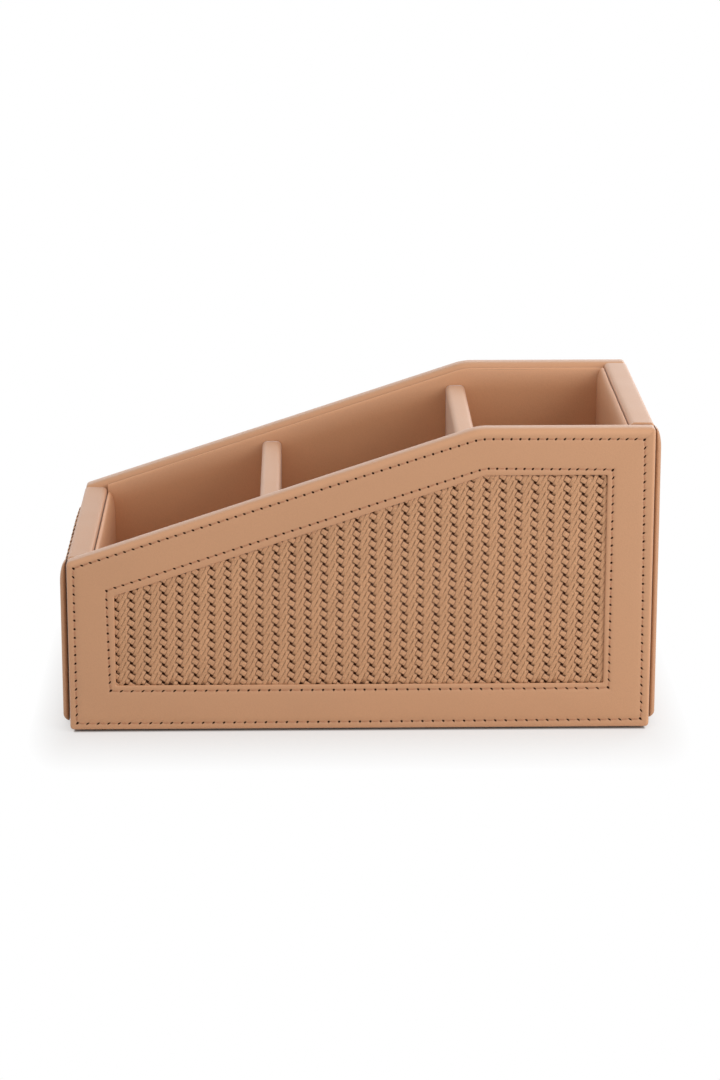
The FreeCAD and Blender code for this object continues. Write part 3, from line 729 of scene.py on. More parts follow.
class HOLDER_OT_frames(bpy.types.Operator):
    """Leather frame of each long wall, folded over its edges and turned in"""

    bl_idname = "holder.frames"
    bl_label = "Leather frames"

    def execute(self, context):
        sizes = context.scene.holder_sizes
        outline, places, columns, outer, inner = frame_layout(sizes)
        for side, sign in SIDES:
            near, far = span(f"{side}_frame_leather", "y")
            inset, sink, values = frame_profile(outline, sizes, columns, places, outer, inner, far - near)
            plan = outline.points(columns, inset)
            points = np.stack([plan[..., 0], sign * (far - sink), plan[..., 1]], -1).reshape(-1, 3)
            faces = outward(points, [grid_quads(*inset.shape, True, True)])
            make_piece(f"{side}_frame", points, faces, "smooth_leather", f"{side}_frame_leather", values)
        return {"FINISHED"}


THREAD_SHARES = np.array([0.20, 0.26, 0.36, 0.5, 0.64, 0.74, 0.80])
THREAD_SINK = np.array([0.62, 0.30, 0.17, 0.12, 0.17, 0.30, 0.62]) * MM
THREAD_SIDES = 6
THREAD_FLATNESS = 0.42
# How unlike the stitches are, in slant, width and height
THREAD_SLANT = 0.05 * MM
THREAD_WIDTHS = (0.92, 1.08)
THREAD_LIFT = 0.02 * MM


def stitches(start, end, face, sign, width, seed):
    """Short bars of thread from hole to hole: an oval carried along a low arch that dips at both ends."""
    random = np.random.default_rng(seed)
    count = len(start)
    rings = len(THREAD_SHARES)
    step = end - start
    along = step / np.linalg.norm(step, axis=1)[:, None]
    across = np.stack([-along[:, 1], along[:, 0]], 1)[:, None]
    slant = THREAD_SLANT * random.normal(0, 1, count)[:, None, None] * np.linspace(-1, 1, rings)[:, None]
    middle = start[:, None] + step[:, None] * THREAD_SHARES[None, :, None] + across * slant
    angle = np.arange(THREAD_SIDES) * 2 * np.pi / THREAD_SIDES
    wide = random.uniform(*THREAD_WIDTHS, count)[:, None, None] * width / 2 * np.cos(angle)
    tall = width * THREAD_FLATNESS * np.sin(angle)
    plan = middle[:, :, None, :] + across[:, None] * wide[..., None]
    lift = tall - THREAD_SINK[:, None] + THREAD_LIFT * random.normal(0, 1, count)[:, None, None]
    height = np.broadcast_to(face + sign * lift, plan.shape[:3])
    points = np.stack([plan[..., 0], height, plan[..., 1]], -1).reshape(-1, 3)
    block = rings * THREAD_SIDES
    first = np.arange(count)[:, None] * block
    sides = (first[:, :, None] + grid_quads(rings, THREAD_SIDES, False, True)[None]).reshape(-1, 4)
    around = np.arange(THREAD_SIDES)
    caps = np.concatenate([first + around[::-1], first + block - THREAD_SIDES + around])
    length = np.linalg.norm(step, axis=1)[:, None] * THREAD_SHARES / width
    strand = np.stack(np.broadcast_arrays(length[:, :, None], angle / np.pi), -1).reshape(-1, 2)
    return points, outward(points, [sides, caps]), {"strand": strand}


class HOLDER_OT_stitches(bpy.types.Operator):
    """Thread of the two rows of stitches on each long wall"""

    bl_idname = "holder.stitches"
    bl_label = "Stitches"

    def execute(self, context):
        sizes = context.scene.holder_sizes
        outline, _, columns, outer, inner = frame_layout(sizes)
        rows = (("outer", sizes.outer_seam, outer), ("inner", sizes.inner_seam, inner))
        for number, (side, sign) in enumerate(SIDES):
            face = sign * span(f"{side}_frame_leather", "y")[1]
            for row, inset, holes in rows:
                line = outline.points(columns, along_corners(inset, columns))[holes]
                seed = 10 * number + len(row) + len(holes)
                points, faces, values = stitches(line, np.roll(line, -1, 0), face, sign, sizes.thread, seed)
                make_piece(f"{side}_{row}_thread", points, faces, "thread", f"{side}_{row}_stitches", values)
        return {"FINISHED"}


# Woven strips

STRIP_ACROSS = np.array([-1.0, -0.78, -0.3, 0.3, 0.78, 1.0, 0.0])
STRIP_TOP = np.array([1, 1, 1, 1, 1, 1, 0])
RISING_PHASES = np.array([-1.1, -0.82, -0.64, -0.5, -0.36, 0.0, 0.36, 0.5, 0.64, 0.82, 1.1, 2.0])
FALLING_PHASES = np.array([-1.0, -0.86, -0.72, -0.58, 0.0, 0.58, 0.72, 0.86, 1.0])
REPEAT = 4
# Phases between which a strip changes: its height, its width, its tilt and back, and its shade at the ends
RISING_RAMP = (0.40, 0.74)
FALLING_RAMP = (0.66, 1.0)
SQUEEZE_RAMP = (0.45, 1.05)
TILT_RAMP = (0.5, 0.85)
LEVEL_RAMP = (1.2, 1.8)
END_SHADE_RAMP = (0.56, 0.74)
# Shares of the swing, downwards, between which a sunk strip grows dark
SUNK_SHADE_RAMP = (0.55, 1.0)
# Tilt as a share of the swing, and the bulges of both sets as shares of the crown
TILT = 0.6
RISING_CROWN = 0.4
FALLING_CROWN = 1.4
# Shade of sunk parts, of the edges of falling strips, and the most that strips differ by
SUNK_SHADE = 0.9
EDGE_SHADE = 0.7
STRIP_SHADE = 0.10
# How uneven the strips are in height and tilt
UNEVEN = 0.03 * MM
RISING_SEED = 29
FALLING_SEED = 17
# How far the grain of one strip is from that of the next
GRAIN_SHIFT = 7.3 * MM
# Numbers of strips and of repeats each way, for the rising and the falling strips
PANEL_REACH = ((64, 9), (33, 17))
COVER_REACH = ((44, 9), (30, 12))
# How far a woven panel goes under its frame, its cloth's thickness, and the gaps behind and before it
PANEL_LAP = 2.0 * MM
CLOTH = 0.15 * MM
CLOTH_GAP = 0.02 * MM
PANEL_GAP = 0.05 * MM


def strip_set(step, offset, rising, weave, keep, reach):
    """Parallel strips as plane points and heights: strip k runs along the step through k times the offset.

    The phase is the distance from the crossing where the falling strip shows, in steps, and repeats every
    four. Near it a falling strip lies high and a rising one low, with smooth ramps between. A rising strip
    also grows narrower there and moves aside as a sine of the phase, and one step further it tilts, so that
    the ends of the next falling strip show beside it. The section is cut along the other strips and bulges
    as one less the square of the distance across. Rings outside the kept area are left off and the ends are
    closed.
    """
    strips, turns = reach
    number = np.arange(-strips, strips + 1)
    phases = RISING_PHASES if rising else FALLING_PHASES
    turn = np.repeat(np.arange(-turns, turns + 1), len(phases))
    first = REPEAT * np.round(number / REPEAT) - number
    phase = np.tile(phases, 2 * turns + 1)
    travel = first[:, None] + REPEAT * turn + phase
    phase = np.broadcast_to(phase, travel.shape)
    away = np.abs(phase)
    random = np.random.default_rng(RISING_SEED if rising else FALLING_SEED)
    lean = UNEVEN * random.normal(0, 1, travel.shape)
    lift = UNEVEN * random.normal(0, 1, travel.shape)
    own = random.uniform(0, STRIP_SHADE, len(number))[:, None]
    if rising:
        swing = weave.swing * (2 * smooth_step(*RISING_RAMP, away) - 1)
        width = weave.rise_fill * (1 - weave.squeeze * (1 - smooth_step(*SQUEEZE_RAMP, away)))
        aside = weave.sidestep * np.where(away < 1, np.sin(np.pi * phase), 0.0)
        tilted = smooth_step(*TILT_RAMP, away) * (1 - smooth_step(*LEVEL_RAMP, away))
        lean += TILT * weave.swing * np.sign(phase) * tilted
        crown = RISING_CROWN * weave.crown
        sunk = smooth_step(*SUNK_SHADE_RAMP, -swing / weave.swing)
        edge_shade = np.zeros(len(STRIP_ACROSS))
    else:
        swing = weave.swing * (1 - 2 * smooth_step(*FALLING_RAMP, away))
        width = np.full(travel.shape, weave.fall_fill)
        aside = np.zeros(travel.shape)
        crown = FALLING_CROWN * weave.crown
        sunk = smooth_step(*END_SHADE_RAMP, away)
        edge_shade = EDGE_SHADE * STRIP_ACROSS ** 8 * STRIP_TOP
    centre = (number[:, None] + aside)[..., None] * offset + travel[..., None] * step
    kept = keep(centre[..., 0], centre[..., 1])
    beside = np.zeros_like(kept)
    beside[:, 1:] |= kept[:, :-1]
    beside[:, :-1] |= kept[:, 1:]
    kept &= beside
    bulge = crown * (1 - STRIP_ACROSS ** 2) * STRIP_TOP - weave.strip * (1 - STRIP_TOP)
    plane = centre[kept][:, None, :] + (width[kept][:, None] / 2 * STRIP_ACROSS)[..., None] * offset
    height = (swing + lift)[kept][:, None] + bulge + lean[kept][:, None] * STRIP_ACROSS
    length = (travel * np.linalg.norm(step))[kept] + GRAIN_SHIFT * np.nonzero(kept)[0]
    strip = np.stack(np.broadcast_arrays(length[:, None], STRIP_ACROSS), -1).reshape(-1, 2)
    # Painted shade where a strip sinks and at the ends and edges of falling strips, or else the strip's own
    # random tone
    shade = np.maximum(np.maximum(own, SUNK_SHADE * sunk)[kept][:, None], edge_shade).ravel()
    return plane.reshape(-1, 2), height.ravel(), strip_faces(kept), {"strip": strip, "shade": shade}


def strip_faces(kept):
    """Faces round the kept rings of every strip, numbered in turn, with a cap at each end of a run."""
    sides = len(STRIP_ACROSS)
    around = np.arange(sides)
    after = (around + 1) % sides
    ring = np.full(kept.shape, -1)
    ring[kept] = np.arange(kept.sum())
    pair = kept[:, :-1] & kept[:, 1:]
    before = ring[:, :-1][pair][:, None] * sides
    behind = ring[:, 1:][pair][:, None] * sides
    quads = np.stack([before + around, before + after, behind + after, behind + around], -1).reshape(-1, 4)
    starts = kept.copy()
    starts[:, 1:] &= ~kept[:, :-1]
    ends = kept.copy()
    ends[:, :-1] &= ~kept[:, 1:]
    head = ring[starts][:, None] * sides + around[::-1]
    tail = ring[ends][:, None] * sides + around
    return [quads, np.concatenate([head, tail])]


def woven_sheet(weave, keep, reach, place):
    """Both sets of strips, laid on a surface by place(across, up, height), with their faces outward."""
    rise = np.array(weave.rise_step)
    fall = np.array(weave.fall_step)
    parts = []
    for step, offset, rising, amount in ((rise, fall, True, reach[0]), (fall, rise, False, reach[1])):
        plane, height, faces, values = strip_set(step, offset, rising, weave, keep, amount)
        points = place(plane[:, 0], plane[:, 1], height)
        parts.append((points, outward(points, faces), values))
    return parts


def shade_backing(points, faces):
    """Cloth behind a woven sheet, as a part of it, painted dark as the shade in the gaps."""
    values = {"strip": np.zeros((len(points), 2)), "shade": np.ones(len(points))}
    return points, outward(points, faces), values


class HOLDER_OT_woven_panels(bpy.types.Operator):
    """Woven sheet behind the window of each long wall, on a backing cloth painted dark as shade"""

    bl_idname = "holder.woven_panels"
    bl_label = "Woven panels"

    def execute(self, context):
        sizes = context.scene.holder_sizes
        weave = context.scene.holder_weave
        outline = PanelOutline(sizes)
        edge = sizes.frame_width - PANEL_LAP
        window = outline.corners - edge * outline.mitres
        count = len(window)
        around = np.arange(count)
        start = np.array(weave.start)
        top = weave.swing + weave.crown + PANEL_GAP
        for side, sign in SIDES:
            near, far = span(f"{side}_woven_panel", "y")

            def place(across, up, height):
                return np.stack([-sign * (start[0] + across), sign * (far - top + height), start[1] + up], -1)

            def keep(across, up):
                return outline.inside(-sign * (start[0] + across), start[1] + up, edge)

            parts = woven_sheet(weave, keep, PANEL_REACH, place)
            depths = sign * (near + CLOTH_GAP + np.repeat([0.0, CLOTH], count))
            points = np.insert(np.tile(window, (2, 1)), 1, depths, axis=1)
            faces = [grid_quads(2, count, False, True), np.stack([around[::-1], around + count])]
            parts.append(shade_backing(points, faces))
            points, faces, values = joined(parts)
            make_piece(f"{side}_weave", points, faces, "woven_leather", f"{side}_woven_panel", values)
        return {"FINISHED"}


# End covers

COVER_NOSE = 1.9 * MM
COVER_TOUCH = 0.1 * MM
# Share of its width that a cover loses where it is thinnest
COVER_TAPER = 0.012
# Distances from an upright edge between which the slot opens and the dish begins
SLOT_RAMP = (12 * MM, 5 * MM)
DISH_RAMP = (9 * MM, 4.5 * MM)
# Distances below the top between which the slot closes at the back, and how much longer it thins there
BACK_RAMP = (24 * MM, 4 * MM)
BACK_SOFTER = 14 * MM
SHEET_MARGIN = 6.5 * MM
SHEET_PROUD = 1.5 * MM
# Width of the bands where the sheet sinks into the leather, and by how much
SHEET_SIDE = (4 * MM, 0.6 * MM)
SHEET_TOP = (1.6 * MM, 1.6 * MM)


class EndCover:
    """Form of an end cover: where its leather lies, by distance across and by height.

    The upright edges are half ovals that stand off the end wall by a slot. Between them the face is dished.
    Towards the top and the bottom the leather thins as a quarter circle. At the back of the top it does so
    over a greater height, and the slot closes.
    """

    def __init__(self, sizes, side):
        self.sizes = sizes
        low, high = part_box(f"{side}_cover_leather")
        self.wall = span(f"{side}_rim_cap", "x")[1]
        self.close = self.wall + COVER_TOUCH
        self.outer = self.wall + sizes.cover_welt
        self.half_width = span("front_frame_leather", "y")[0] - sizes.cover_gap
        self.middle = (high.z + low.z) / 2
        self.half_height = (high.z - low.z) / 2

    def near_edge(self, y, ramp):
        """Rises from 0 to 1 between two distances from the nearer upright edge."""
        return smooth_step(self.half_width - ramp[0], self.half_width - ramp[1], np.abs(y))

    def inside(self, y, up):
        """Where the inner side of the leather is."""
        near_top = smooth_step(self.half_height - BACK_RAMP[0], self.half_height - BACK_RAMP[1], up)
        open_slot = np.where(y > 0, 1 - near_top, 1)
        return self.close + self.sizes.cover_slot * self.near_edge(y, SLOT_RAMP) * open_slot

    def thinned(self, y, up):
        """Share of its thickness that the leather keeps."""
        softer = BACK_SOFTER * smooth_step(0.5 * self.half_width, self.half_width, y)
        run = np.where(up > 0, self.sizes.cover_end + softer, self.sizes.cover_foot)
        over = np.clip((np.abs(up) - self.half_height + run) / run, 0, 1)
        return np.sqrt(1 - over ** 2)

    def leather(self, sign):
        """Closed section carried from the foot to the head."""
        turn = np.radians(np.linspace(-90, 90, 13))
        front = self.close + self.sizes.cover_slot
        bow = front + (self.outer - front) * (1 + np.sin(turn)) / 2
        edge = np.stack([bow, COVER_NOSE * (1 - np.cos(turn)) - self.half_width], 1)
        face_y = np.linspace(COVER_NOSE - self.half_width, self.half_width - COVER_NOSE, 61)[1:-1]
        dish = self.sizes.cover_dish * (1 - self.near_edge(face_y, DISH_RAMP))
        face = np.stack([self.outer - dish, face_y], 1)
        back = np.stack([self.inside(face_y, 0), face_y], 1)[::-1]
        x, y = np.split(np.concatenate([edge, face, edge[::-1] * (1, -1), back]), 2, 1)
        ends = np.sin(np.radians(np.linspace(0, 88, 9)))
        head = self.half_height - self.sizes.cover_end * (1 - ends)
        foot = self.half_height - self.sizes.cover_foot * (1 - ends)
        up = np.concatenate([-foot[::-1], np.linspace(-foot[0], head[0], 41)[1:-1], head])
        share = self.thinned(y, up)
        x = (x - self.inside(y, 0)) * share + self.inside(y, up)
        y = y * (1 - COVER_TAPER * (1 - share))
        return swept_loop(np.stack(np.broadcast_arrays(sign * x, y, self.middle + up[None, :]), -1))


class HOLDER_OT_covers(bpy.types.Operator):
    """Padded cover of each end wall: smooth leather with round edges, and a woven sheet on its face"""

    bl_idname = "holder.covers"
    bl_label = "End covers"

    def execute(self, context):
        sizes = context.scene.holder_sizes
        weave = context.scene.holder_weave
        top = weave.swing + weave.crown
        for side, sign in ENDS:
            cover = EndCover(sizes, side)
            points, faces = cover.leather(sign)
            piece = make_piece(f"{side}_cover_edge", points, faces, "smooth_leather", f"{side}_cover_leather",
                               plain_leather(len(points)))
            low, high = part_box(f"{side}_woven_cover")
            extent = np.array([cover.half_width - SHEET_MARGIN, (high.z - low.z) / 2])
            thick = cover.outer - sizes.cover_dish - cover.close

            def place(across, up, height):
                beside = smooth_step(0, SHEET_SIDE[0], extent[0] - np.abs(across))
                above = smooth_step(0, SHEET_TOP[0], extent[1] - np.abs(up))
                sink = SHEET_SIDE[1] * (1 - beside) + SHEET_TOP[1] * (1 - above)
                y = sign * across
                x = cover.close + thick * cover.thinned(y, up) + SHEET_PROUD - sink - top + height
                return np.stack([sign * x, y, cover.middle + up], -1)

            def keep(across, up):
                return (np.abs(across) < extent[0]) & (np.abs(up) < extent[1])

            parts = woven_sheet(weave, keep, COVER_REACH, place)
            across, up = np.meshgrid(np.linspace(-1, 1, 25) * extent[0], np.linspace(-1, 1, 25) * extent[1])
            depth = -(weave.swing + weave.strip + CLOTH_GAP)
            cloth = place(across.ravel(), up.ravel(), np.full(across.size, depth))
            parts.append(shade_backing(cloth, closed_sheet(*across.shape)))
            points, faces, values = joined(parts)
            make_piece(f"{side}_cover_weave", points, faces, "woven_leather", f"{side}_woven_cover", values)
        return {"FINISHED"}


def closed_sheet(rows, columns):
    """Quads of a grid, closed behind by one face round its rim."""
    number = np.arange(rows * columns).reshape(rows, columns)
    rim = np.concatenate([number[0, :-1], number[:-1, -1], number[-1, :0:-1], number[:0:-1, 0]])
    return [grid_quads(rows, columns), rim[::-1][None, :]]


# Rims, linings, dividers and floor

RIM_FOLD = 2.2 * MM
RIM_BROW = 1.6 * MM
RIM_END = 0.8 * MM
RIM_TURN_IN = 6 * MM
RIM_SHORT = 0.3 * MM
RIM_CROWN = 0.12 * MM
# How far the skin of a rim draws in at its ends, and how much its crown varies, as shares
RIM_DRAW = 0.6
RIM_UNEVEN = 0.8
COVER_CLEARANCE = 0.4 * MM
LINING_LIP = 0.6 * MM
LINING_BELLY = 0.12 * MM
LINING_SAG = 0.25 * MM
# How much lower or further in the linings lie than their boxes
LINING_DROP = 0.7 * MM
LINING_BACK = 0.1 * MM
END_DROP = 0.2 * MM
# Depth below the lip of a lining over which its painted highlight fades
LIP_HIGHLIGHT_DEPTH = 0.9 * MM
DIVIDER_DROP = 0.1 * MM
DIVIDER_CROWN = 0.08 * MM
DIVIDER_LIFT = 0.12 * MM
# How much paler the top edges of a divider are: partly worn leather and partly a painted highlight
DIVIDER_WEAR_AND_HIGHLIGHT = 0.6
# Length and first seed of the slow waves
RIM_WAVE = (47 * MM, 40)
LINING_WAVE = (90 * MM, 60)
END_WAVE = (80 * MM, 80)
DIVIDER_WAVE = (70 * MM, 90)


def arc(centre, radius, start, end, count):
    """Points of an arc in the plane of the section, angles in degrees."""
    angle = np.radians(np.linspace(start, end, count))
    return np.stack([centre[0] + radius * np.cos(angle), centre[1] + radius * np.sin(angle)], 1)


def eased(count):
    """Numbers from -1 to 1 that lie closer together at both ends."""
    return np.sin(np.linspace(-np.pi / 2, np.pi / 2, count))


def swept_loop(loop, caps=None):
    """Closed section carried along stations: loop is points by stations by three, caps the end faces."""
    count, stations = loop.shape[:2]
    if caps is None:
        caps = np.arange(count)[None, :]
    points = loop.reshape(-1, 3)
    sides = grid_quads(count, stations, True, False)
    return points, outward(points, [sides, caps * stations, caps[:, ::-1] * stations + stations - 1])


class HOLDER_OT_rims(bpy.types.Operator):
    """Smooth leather folded over the top of each end wall.

    A section of two quarter rounds and a level top is carried along the wall. The top rises by a sine across
    it times a slow wave along it, and near both ends the skin draws in as a quarter circle.
    """

    bl_idname = "holder.rims"
    bl_label = "Rims"

    def execute(self, context):
        sizes = context.scene.holder_sizes
        for number, (side, sign) in enumerate(ENDS):
            low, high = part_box(f"{side}_rim_cap")
            inner, outer = span(f"{side}_rim_cap", "x")
            top = high.z
            cover_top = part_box(f"{side}_cover_leather")[1].z
            brow = outer + sizes.rim_over - RIM_BROW
            skin = np.concatenate([
                np.array([(inner, low.z), (inner, low.z + RIM_TURN_IN)]),
                arc((inner + RIM_FOLD, top - RIM_FOLD), RIM_FOLD, 180, 90, 7),
                np.stack([np.linspace(inner + RIM_FOLD, brow, 7)[1:-1], np.full(5, top)], 1),
                arc((brow, top - RIM_BROW), RIM_BROW, 90, 0, 7),
                np.array([(outer, cover_top + COVER_CLEARANCE)])])
            thick = sizes.leather
            under = np.clip(skin, (inner + thick, low.z), (outer - thick, top - thick))
            reach = high.y - RIM_SHORT
            along = eased(61) * reach
            crown = RIM_CROWN * np.sin(np.pi * np.clip((skin[:, 0] - inner) / (outer - inner), 0, 1))
            close = np.clip((np.abs(along) - (reach - RIM_END)) / RIM_END, 0, 1)
            ease = RIM_DRAW * (1 - np.sqrt(1 - close ** 2))
            raised = skin[:, None, :] + (under - skin)[:, None, :] * ease[None, :, None]
            raised[..., 1] += crown[:, None] * (1 + RIM_UNEVEN * wander(along, RIM_WAVE, number))
            loop = np.concatenate([raised, np.repeat(under[::-1, None, :], len(along), 1)])
            place = np.broadcast_to(along, loop.shape[:2])
            loop = np.stack([sign * loop[..., 0], place, loop[..., 1]], -1)
            count = len(skin)
            step = np.arange(count - 1)
            last = 2 * count - 1
            caps = np.stack([step, step + 1, last - step - 1, last - step], 1)
            points, faces = swept_loop(loop, caps)
            # Paler over the fold: partly worn leather and partly a painted highlight
            folded = np.sin(np.pi * np.clip((top - skin[:, 1]) / RIM_FOLD, 0, 1))
            folded = np.repeat(np.concatenate([folded, np.zeros(count)]), len(along))
            make_piece(f"{side}_rim", points, faces, "smooth_leather", f"{side}_rim_cap",
                       plain_leather(len(points), folded))
        return {"FINISHED"}


def lining_section(thickness, roll, height):
    """Section of a lining as distance from the wall and drop below its top.

    A small round at the wall, a quarter of an ellipse rolling over the top, the face, the foot and the back.
    """
    lip = LINING_LIP
    angle = np.radians(np.linspace(0, 90, 13))
    roll_over = np.stack([lip + (thickness - lip) * np.sin(angle), roll * (1 - np.cos(angle))], 1)
    face = np.stack([np.full(9, thickness), np.linspace(roll, height - lip, 10)[1:]], 1)
    foot = np.array([(thickness - lip, height), (lip, height), (0, height - lip), (0, height / 2), (0, lip)])
    mouth = np.array([(0.2 * lip, 0.25 * lip)])
    return np.concatenate([roll_over, face, foot, mouth])


def make_lining(side, section, loop):
    """Padded lining from its swept section, with a painted highlight along the lip and within about a
    millimetre below it.
    """
    points, faces = swept_loop(loop)
    wear_and_highlight = np.exp(-(section[:, 1] / LIP_HIGHLIGHT_DEPTH) ** 2) * (section[:, 0] > LINING_LIP / 2)
    values = {"fold": np.repeat(wear_and_highlight, loop.shape[1])}
    piece = make_piece(f"{side}_lining", points, faces, "lining_leather", f"{side}_lining_pad", values)


class HOLDER_OT_linings(bpy.types.Operator):
    """Padded leather lining of the four walls, with a soft roll along the top.

    The section is carried along each wall. On the long walls its top follows the rim and its face swells by a
    slow wave, and on the ends its roll sags by one.
    """

    bl_idname = "holder.linings"
    bl_label = "Linings"

    def execute(self, context):
        sizes = context.scene.holder_sizes
        roll = sizes.lining_roll
        outline = PanelOutline(sizes)
        for number, (side, sign) in enumerate(SIDES):
            low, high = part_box(f"{side}_lining_pad")
            wall = span(f"{side}_lining_pad", "y")[1]
            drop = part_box(f"{side}_frame_leather")[1].z - high.z + LINING_DROP
            x = eased(161) * high.x
            top = outline.rim_height(x, drop)
            section = lining_section(high.y - low.y, roll, 1.0)
            out, down = np.split(section, 2, 1)
            share = np.clip((down - roll) / (1.0 - roll), 0, 1)
            fall = np.where(down <= roll, down, roll + share * (top - low.z - roll))
            belly = LINING_BELLY * (out / out.max()) * wander(x, LINING_WAVE, number)
            y = wall - out + belly - LINING_BACK
            make_lining(side, section, np.stack(np.broadcast_arrays(x[None, :], sign * y, top - fall), -1))
        for number, (side, sign) in enumerate(ENDS):
            low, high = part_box(f"{side}_lining_pad")
            wall = span(f"{side}_lining_pad", "x")[1]
            section = lining_section(high.x - low.x, roll, high.z - low.z)
            out, down = np.split(section, 2, 1)
            y = eased(61) * high.y
            sag = LINING_SAG * wander(y, END_WAVE, number)
            z = high.z + np.where(down <= roll, sag - END_DROP, 0.0) - down
            make_lining(side, section, np.stack(np.broadcast_arrays(sign * (wall - out), y[None, :], z), -1))
        return {"FINISHED"}


class HOLDER_OT_dividers(bpy.types.Operator):
    """Leather of the two dividers, rounded along the top.

    A section with two quarter rounds and a low crown is carried along the divider, and its upper part lifts
    by a slow wave.
    """

    bl_idname = "holder.dividers"
    bl_label = "Dividers"

    def execute(self, context):
        edge = context.scene.holder_sizes.divider_round
        for number, (side, _) in enumerate(ENDS):
            low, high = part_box(f"{side}_divider_cover")
            half = (high.x - low.x) / 2
            middle = (high.x + low.x) / 2
            top = high.z - DIVIDER_DROP
            crown = top + DIVIDER_CROWN
            section = np.concatenate([
                np.array([(half, low.z), (half, (low.z + top) / 2)]),
                arc((half - edge, top - edge), edge, 0, 90, 8),
                np.array([(0.4 * (half - edge), crown), (-0.4 * (half - edge), crown)]),
                arc((edge - half, top - edge), edge, 90, 180, 8),
                np.array([(-half, (low.z + top) / 2), (-half, low.z)])])
            x, z = np.split(section, 2, 1)
            along = np.linspace(-1, 1, 49) * high.y
            lift = DIVIDER_LIFT * wander(along, DIVIDER_WAVE, number)
            loop = np.broadcast_arrays(middle + x, along[None, :], z + (z > top - 2 * edge) * lift)
            points, faces = swept_loop(np.stack(loop, -1))
            # Paler along the top edges: partly worn leather and partly a painted highlight
            folded = np.repeat(DIVIDER_WEAR_AND_HIGHLIGHT * np.clip((z - top + edge) / edge, 0, 1), len(along))
            make_piece(f"{side}_divider", points, faces, "smooth_leather", f"{side}_divider_cover",
                       plain_leather(len(points), folded))
        return {"FINISHED"}


def soft_plate(low, high, corner, edge):
    """Flat pad with rounded corners and edges: a rounded rectangle carried round a half oval edge.

    Rings of the outline shrink by the edge times one less the cosine while they rise by its sine, from the
    underside to the top, and one face closes each side.
    """
    half = (high - low) / 2
    quarter = np.radians(np.linspace(0, 90, 8))
    angle = np.concatenate([quarter + k * np.pi / 2 for k in range(4)])
    round_corner = np.stack([np.cos(angle), np.sin(angle)], 1)
    signs = np.repeat([(1, 1), (-1, 1), (-1, -1), (1, -1)], len(quarter), 0)
    rings = []
    for turn in np.radians([-90, -60, -30, 0, 30, 60, 90]):
        radius = corner - edge * (1 - np.cos(turn))
        plan = signs * (half[:2] - corner) + radius * round_corner
        rings.append(np.column_stack([plan, np.full(len(plan), half[2] * np.sin(turn))]))
    points = np.concatenate(rings) + (high + low) / 2
    count = len(angle)
    around = np.arange(count)
    faces = [grid_quads(len(rings), count, False, True), around[::-1][None, :],
             (around + count * (len(rings) - 1))[None, :]]
    return points, faces


# Piece, node, slot, corner radius and edge radius of the flat pads
PADS = (("floor_sheet", "floor_leather", "lining_leather", 1.5 * MM, 0.5 * MM),
        ("felt_pad", "base_pad", "felt", 6 * MM, 0.4 * MM),
        ("left_foam", "left_cover_foam", "foam", 2 * MM, 0.6 * MM),
        ("right_foam", "right_cover_foam", "foam", 2 * MM, 0.6 * MM))


class HOLDER_OT_floor(bpy.types.Operator):
    """Leather floor, felt under the base and foam behind the woven covers"""

    bl_idname = "holder.floor"
    bl_label = "Floor, felt and foam"

    def execute(self, context):
        for name, node, slot, corner, edge in PADS:
            order = [1, 2, 0] if slot == "foam" else [0, 1, 2]
            low, high = np.array(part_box(node))[:, order]
            points, faces = soft_plate(low, high, corner, edge)
            points = points[:, np.argsort(order)]
            piece = make_piece(name, points, outward(points, faces), slot, node)
        return {"FINISHED"}


class HOLDER_OT_core(bpy.types.Operator):
    """Finishes of the boards, cards and brads, which keep their solids"""

    bl_idname = "holder.core"
    bl_label = "Boards, cards and brads"

    def execute(self, context):
        finishes = {"board": "board", "card": "card", "pins": "steel"}
        for name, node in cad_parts.items():
            ending = name.rsplit("_", 1)[-1]
            if ending in finishes:
                node.data.materials.clear()
                node.data.materials.append(finish_named(finishes[ending]))
        return {"FINISHED"}


# Stage

CAMERA_PLACE = (-26.4 * MM, -1490.1 * MM, 486.85 * MM)
CAMERA_TILT = np.radians(90 - 15.549)
CAMERA_TURN = np.radians(-1.071)
CAMERA_LENS = 105.33
SENSOR_WIDTH = 36.0
FLOOR_REACH = 12.0
# How far the floor fades from its shadow to plain white, so that the shadow's reach is painted, and how far
# its darkest middle, a painted contact shadow, lies within the holder's box
SIDE_FADE = 22 * MM
FRONT_FADE = 58 * MM
SIDE_MARGIN = 6 * MM
FRONT_MARGIN = 1.5 * MM
SURROUND_LIGHT = 0.66
SURROUND_SHOWN = 1.3
LAMP_TARGET = (0.0, 0.0, 0.08)
# Name, place, size and power of each lamp
LAMPS = (("key", (0.85, -0.70, 0.55), 0.7, 5.0), ("back", (0.80, 1.30, 0.75), 0.8, 6.0))


def seen_or_mirrored(tree):
    """Output that is 1 for what the camera sees, straight or in a glossy surface, and 0 for light."""
    paths = tree.nodes.new("ShaderNodeLightPath").outputs
    return tree.add("Math", paths["Is Camera Ray"], paths["Is Glossy Ray"], operation="MAXIMUM")


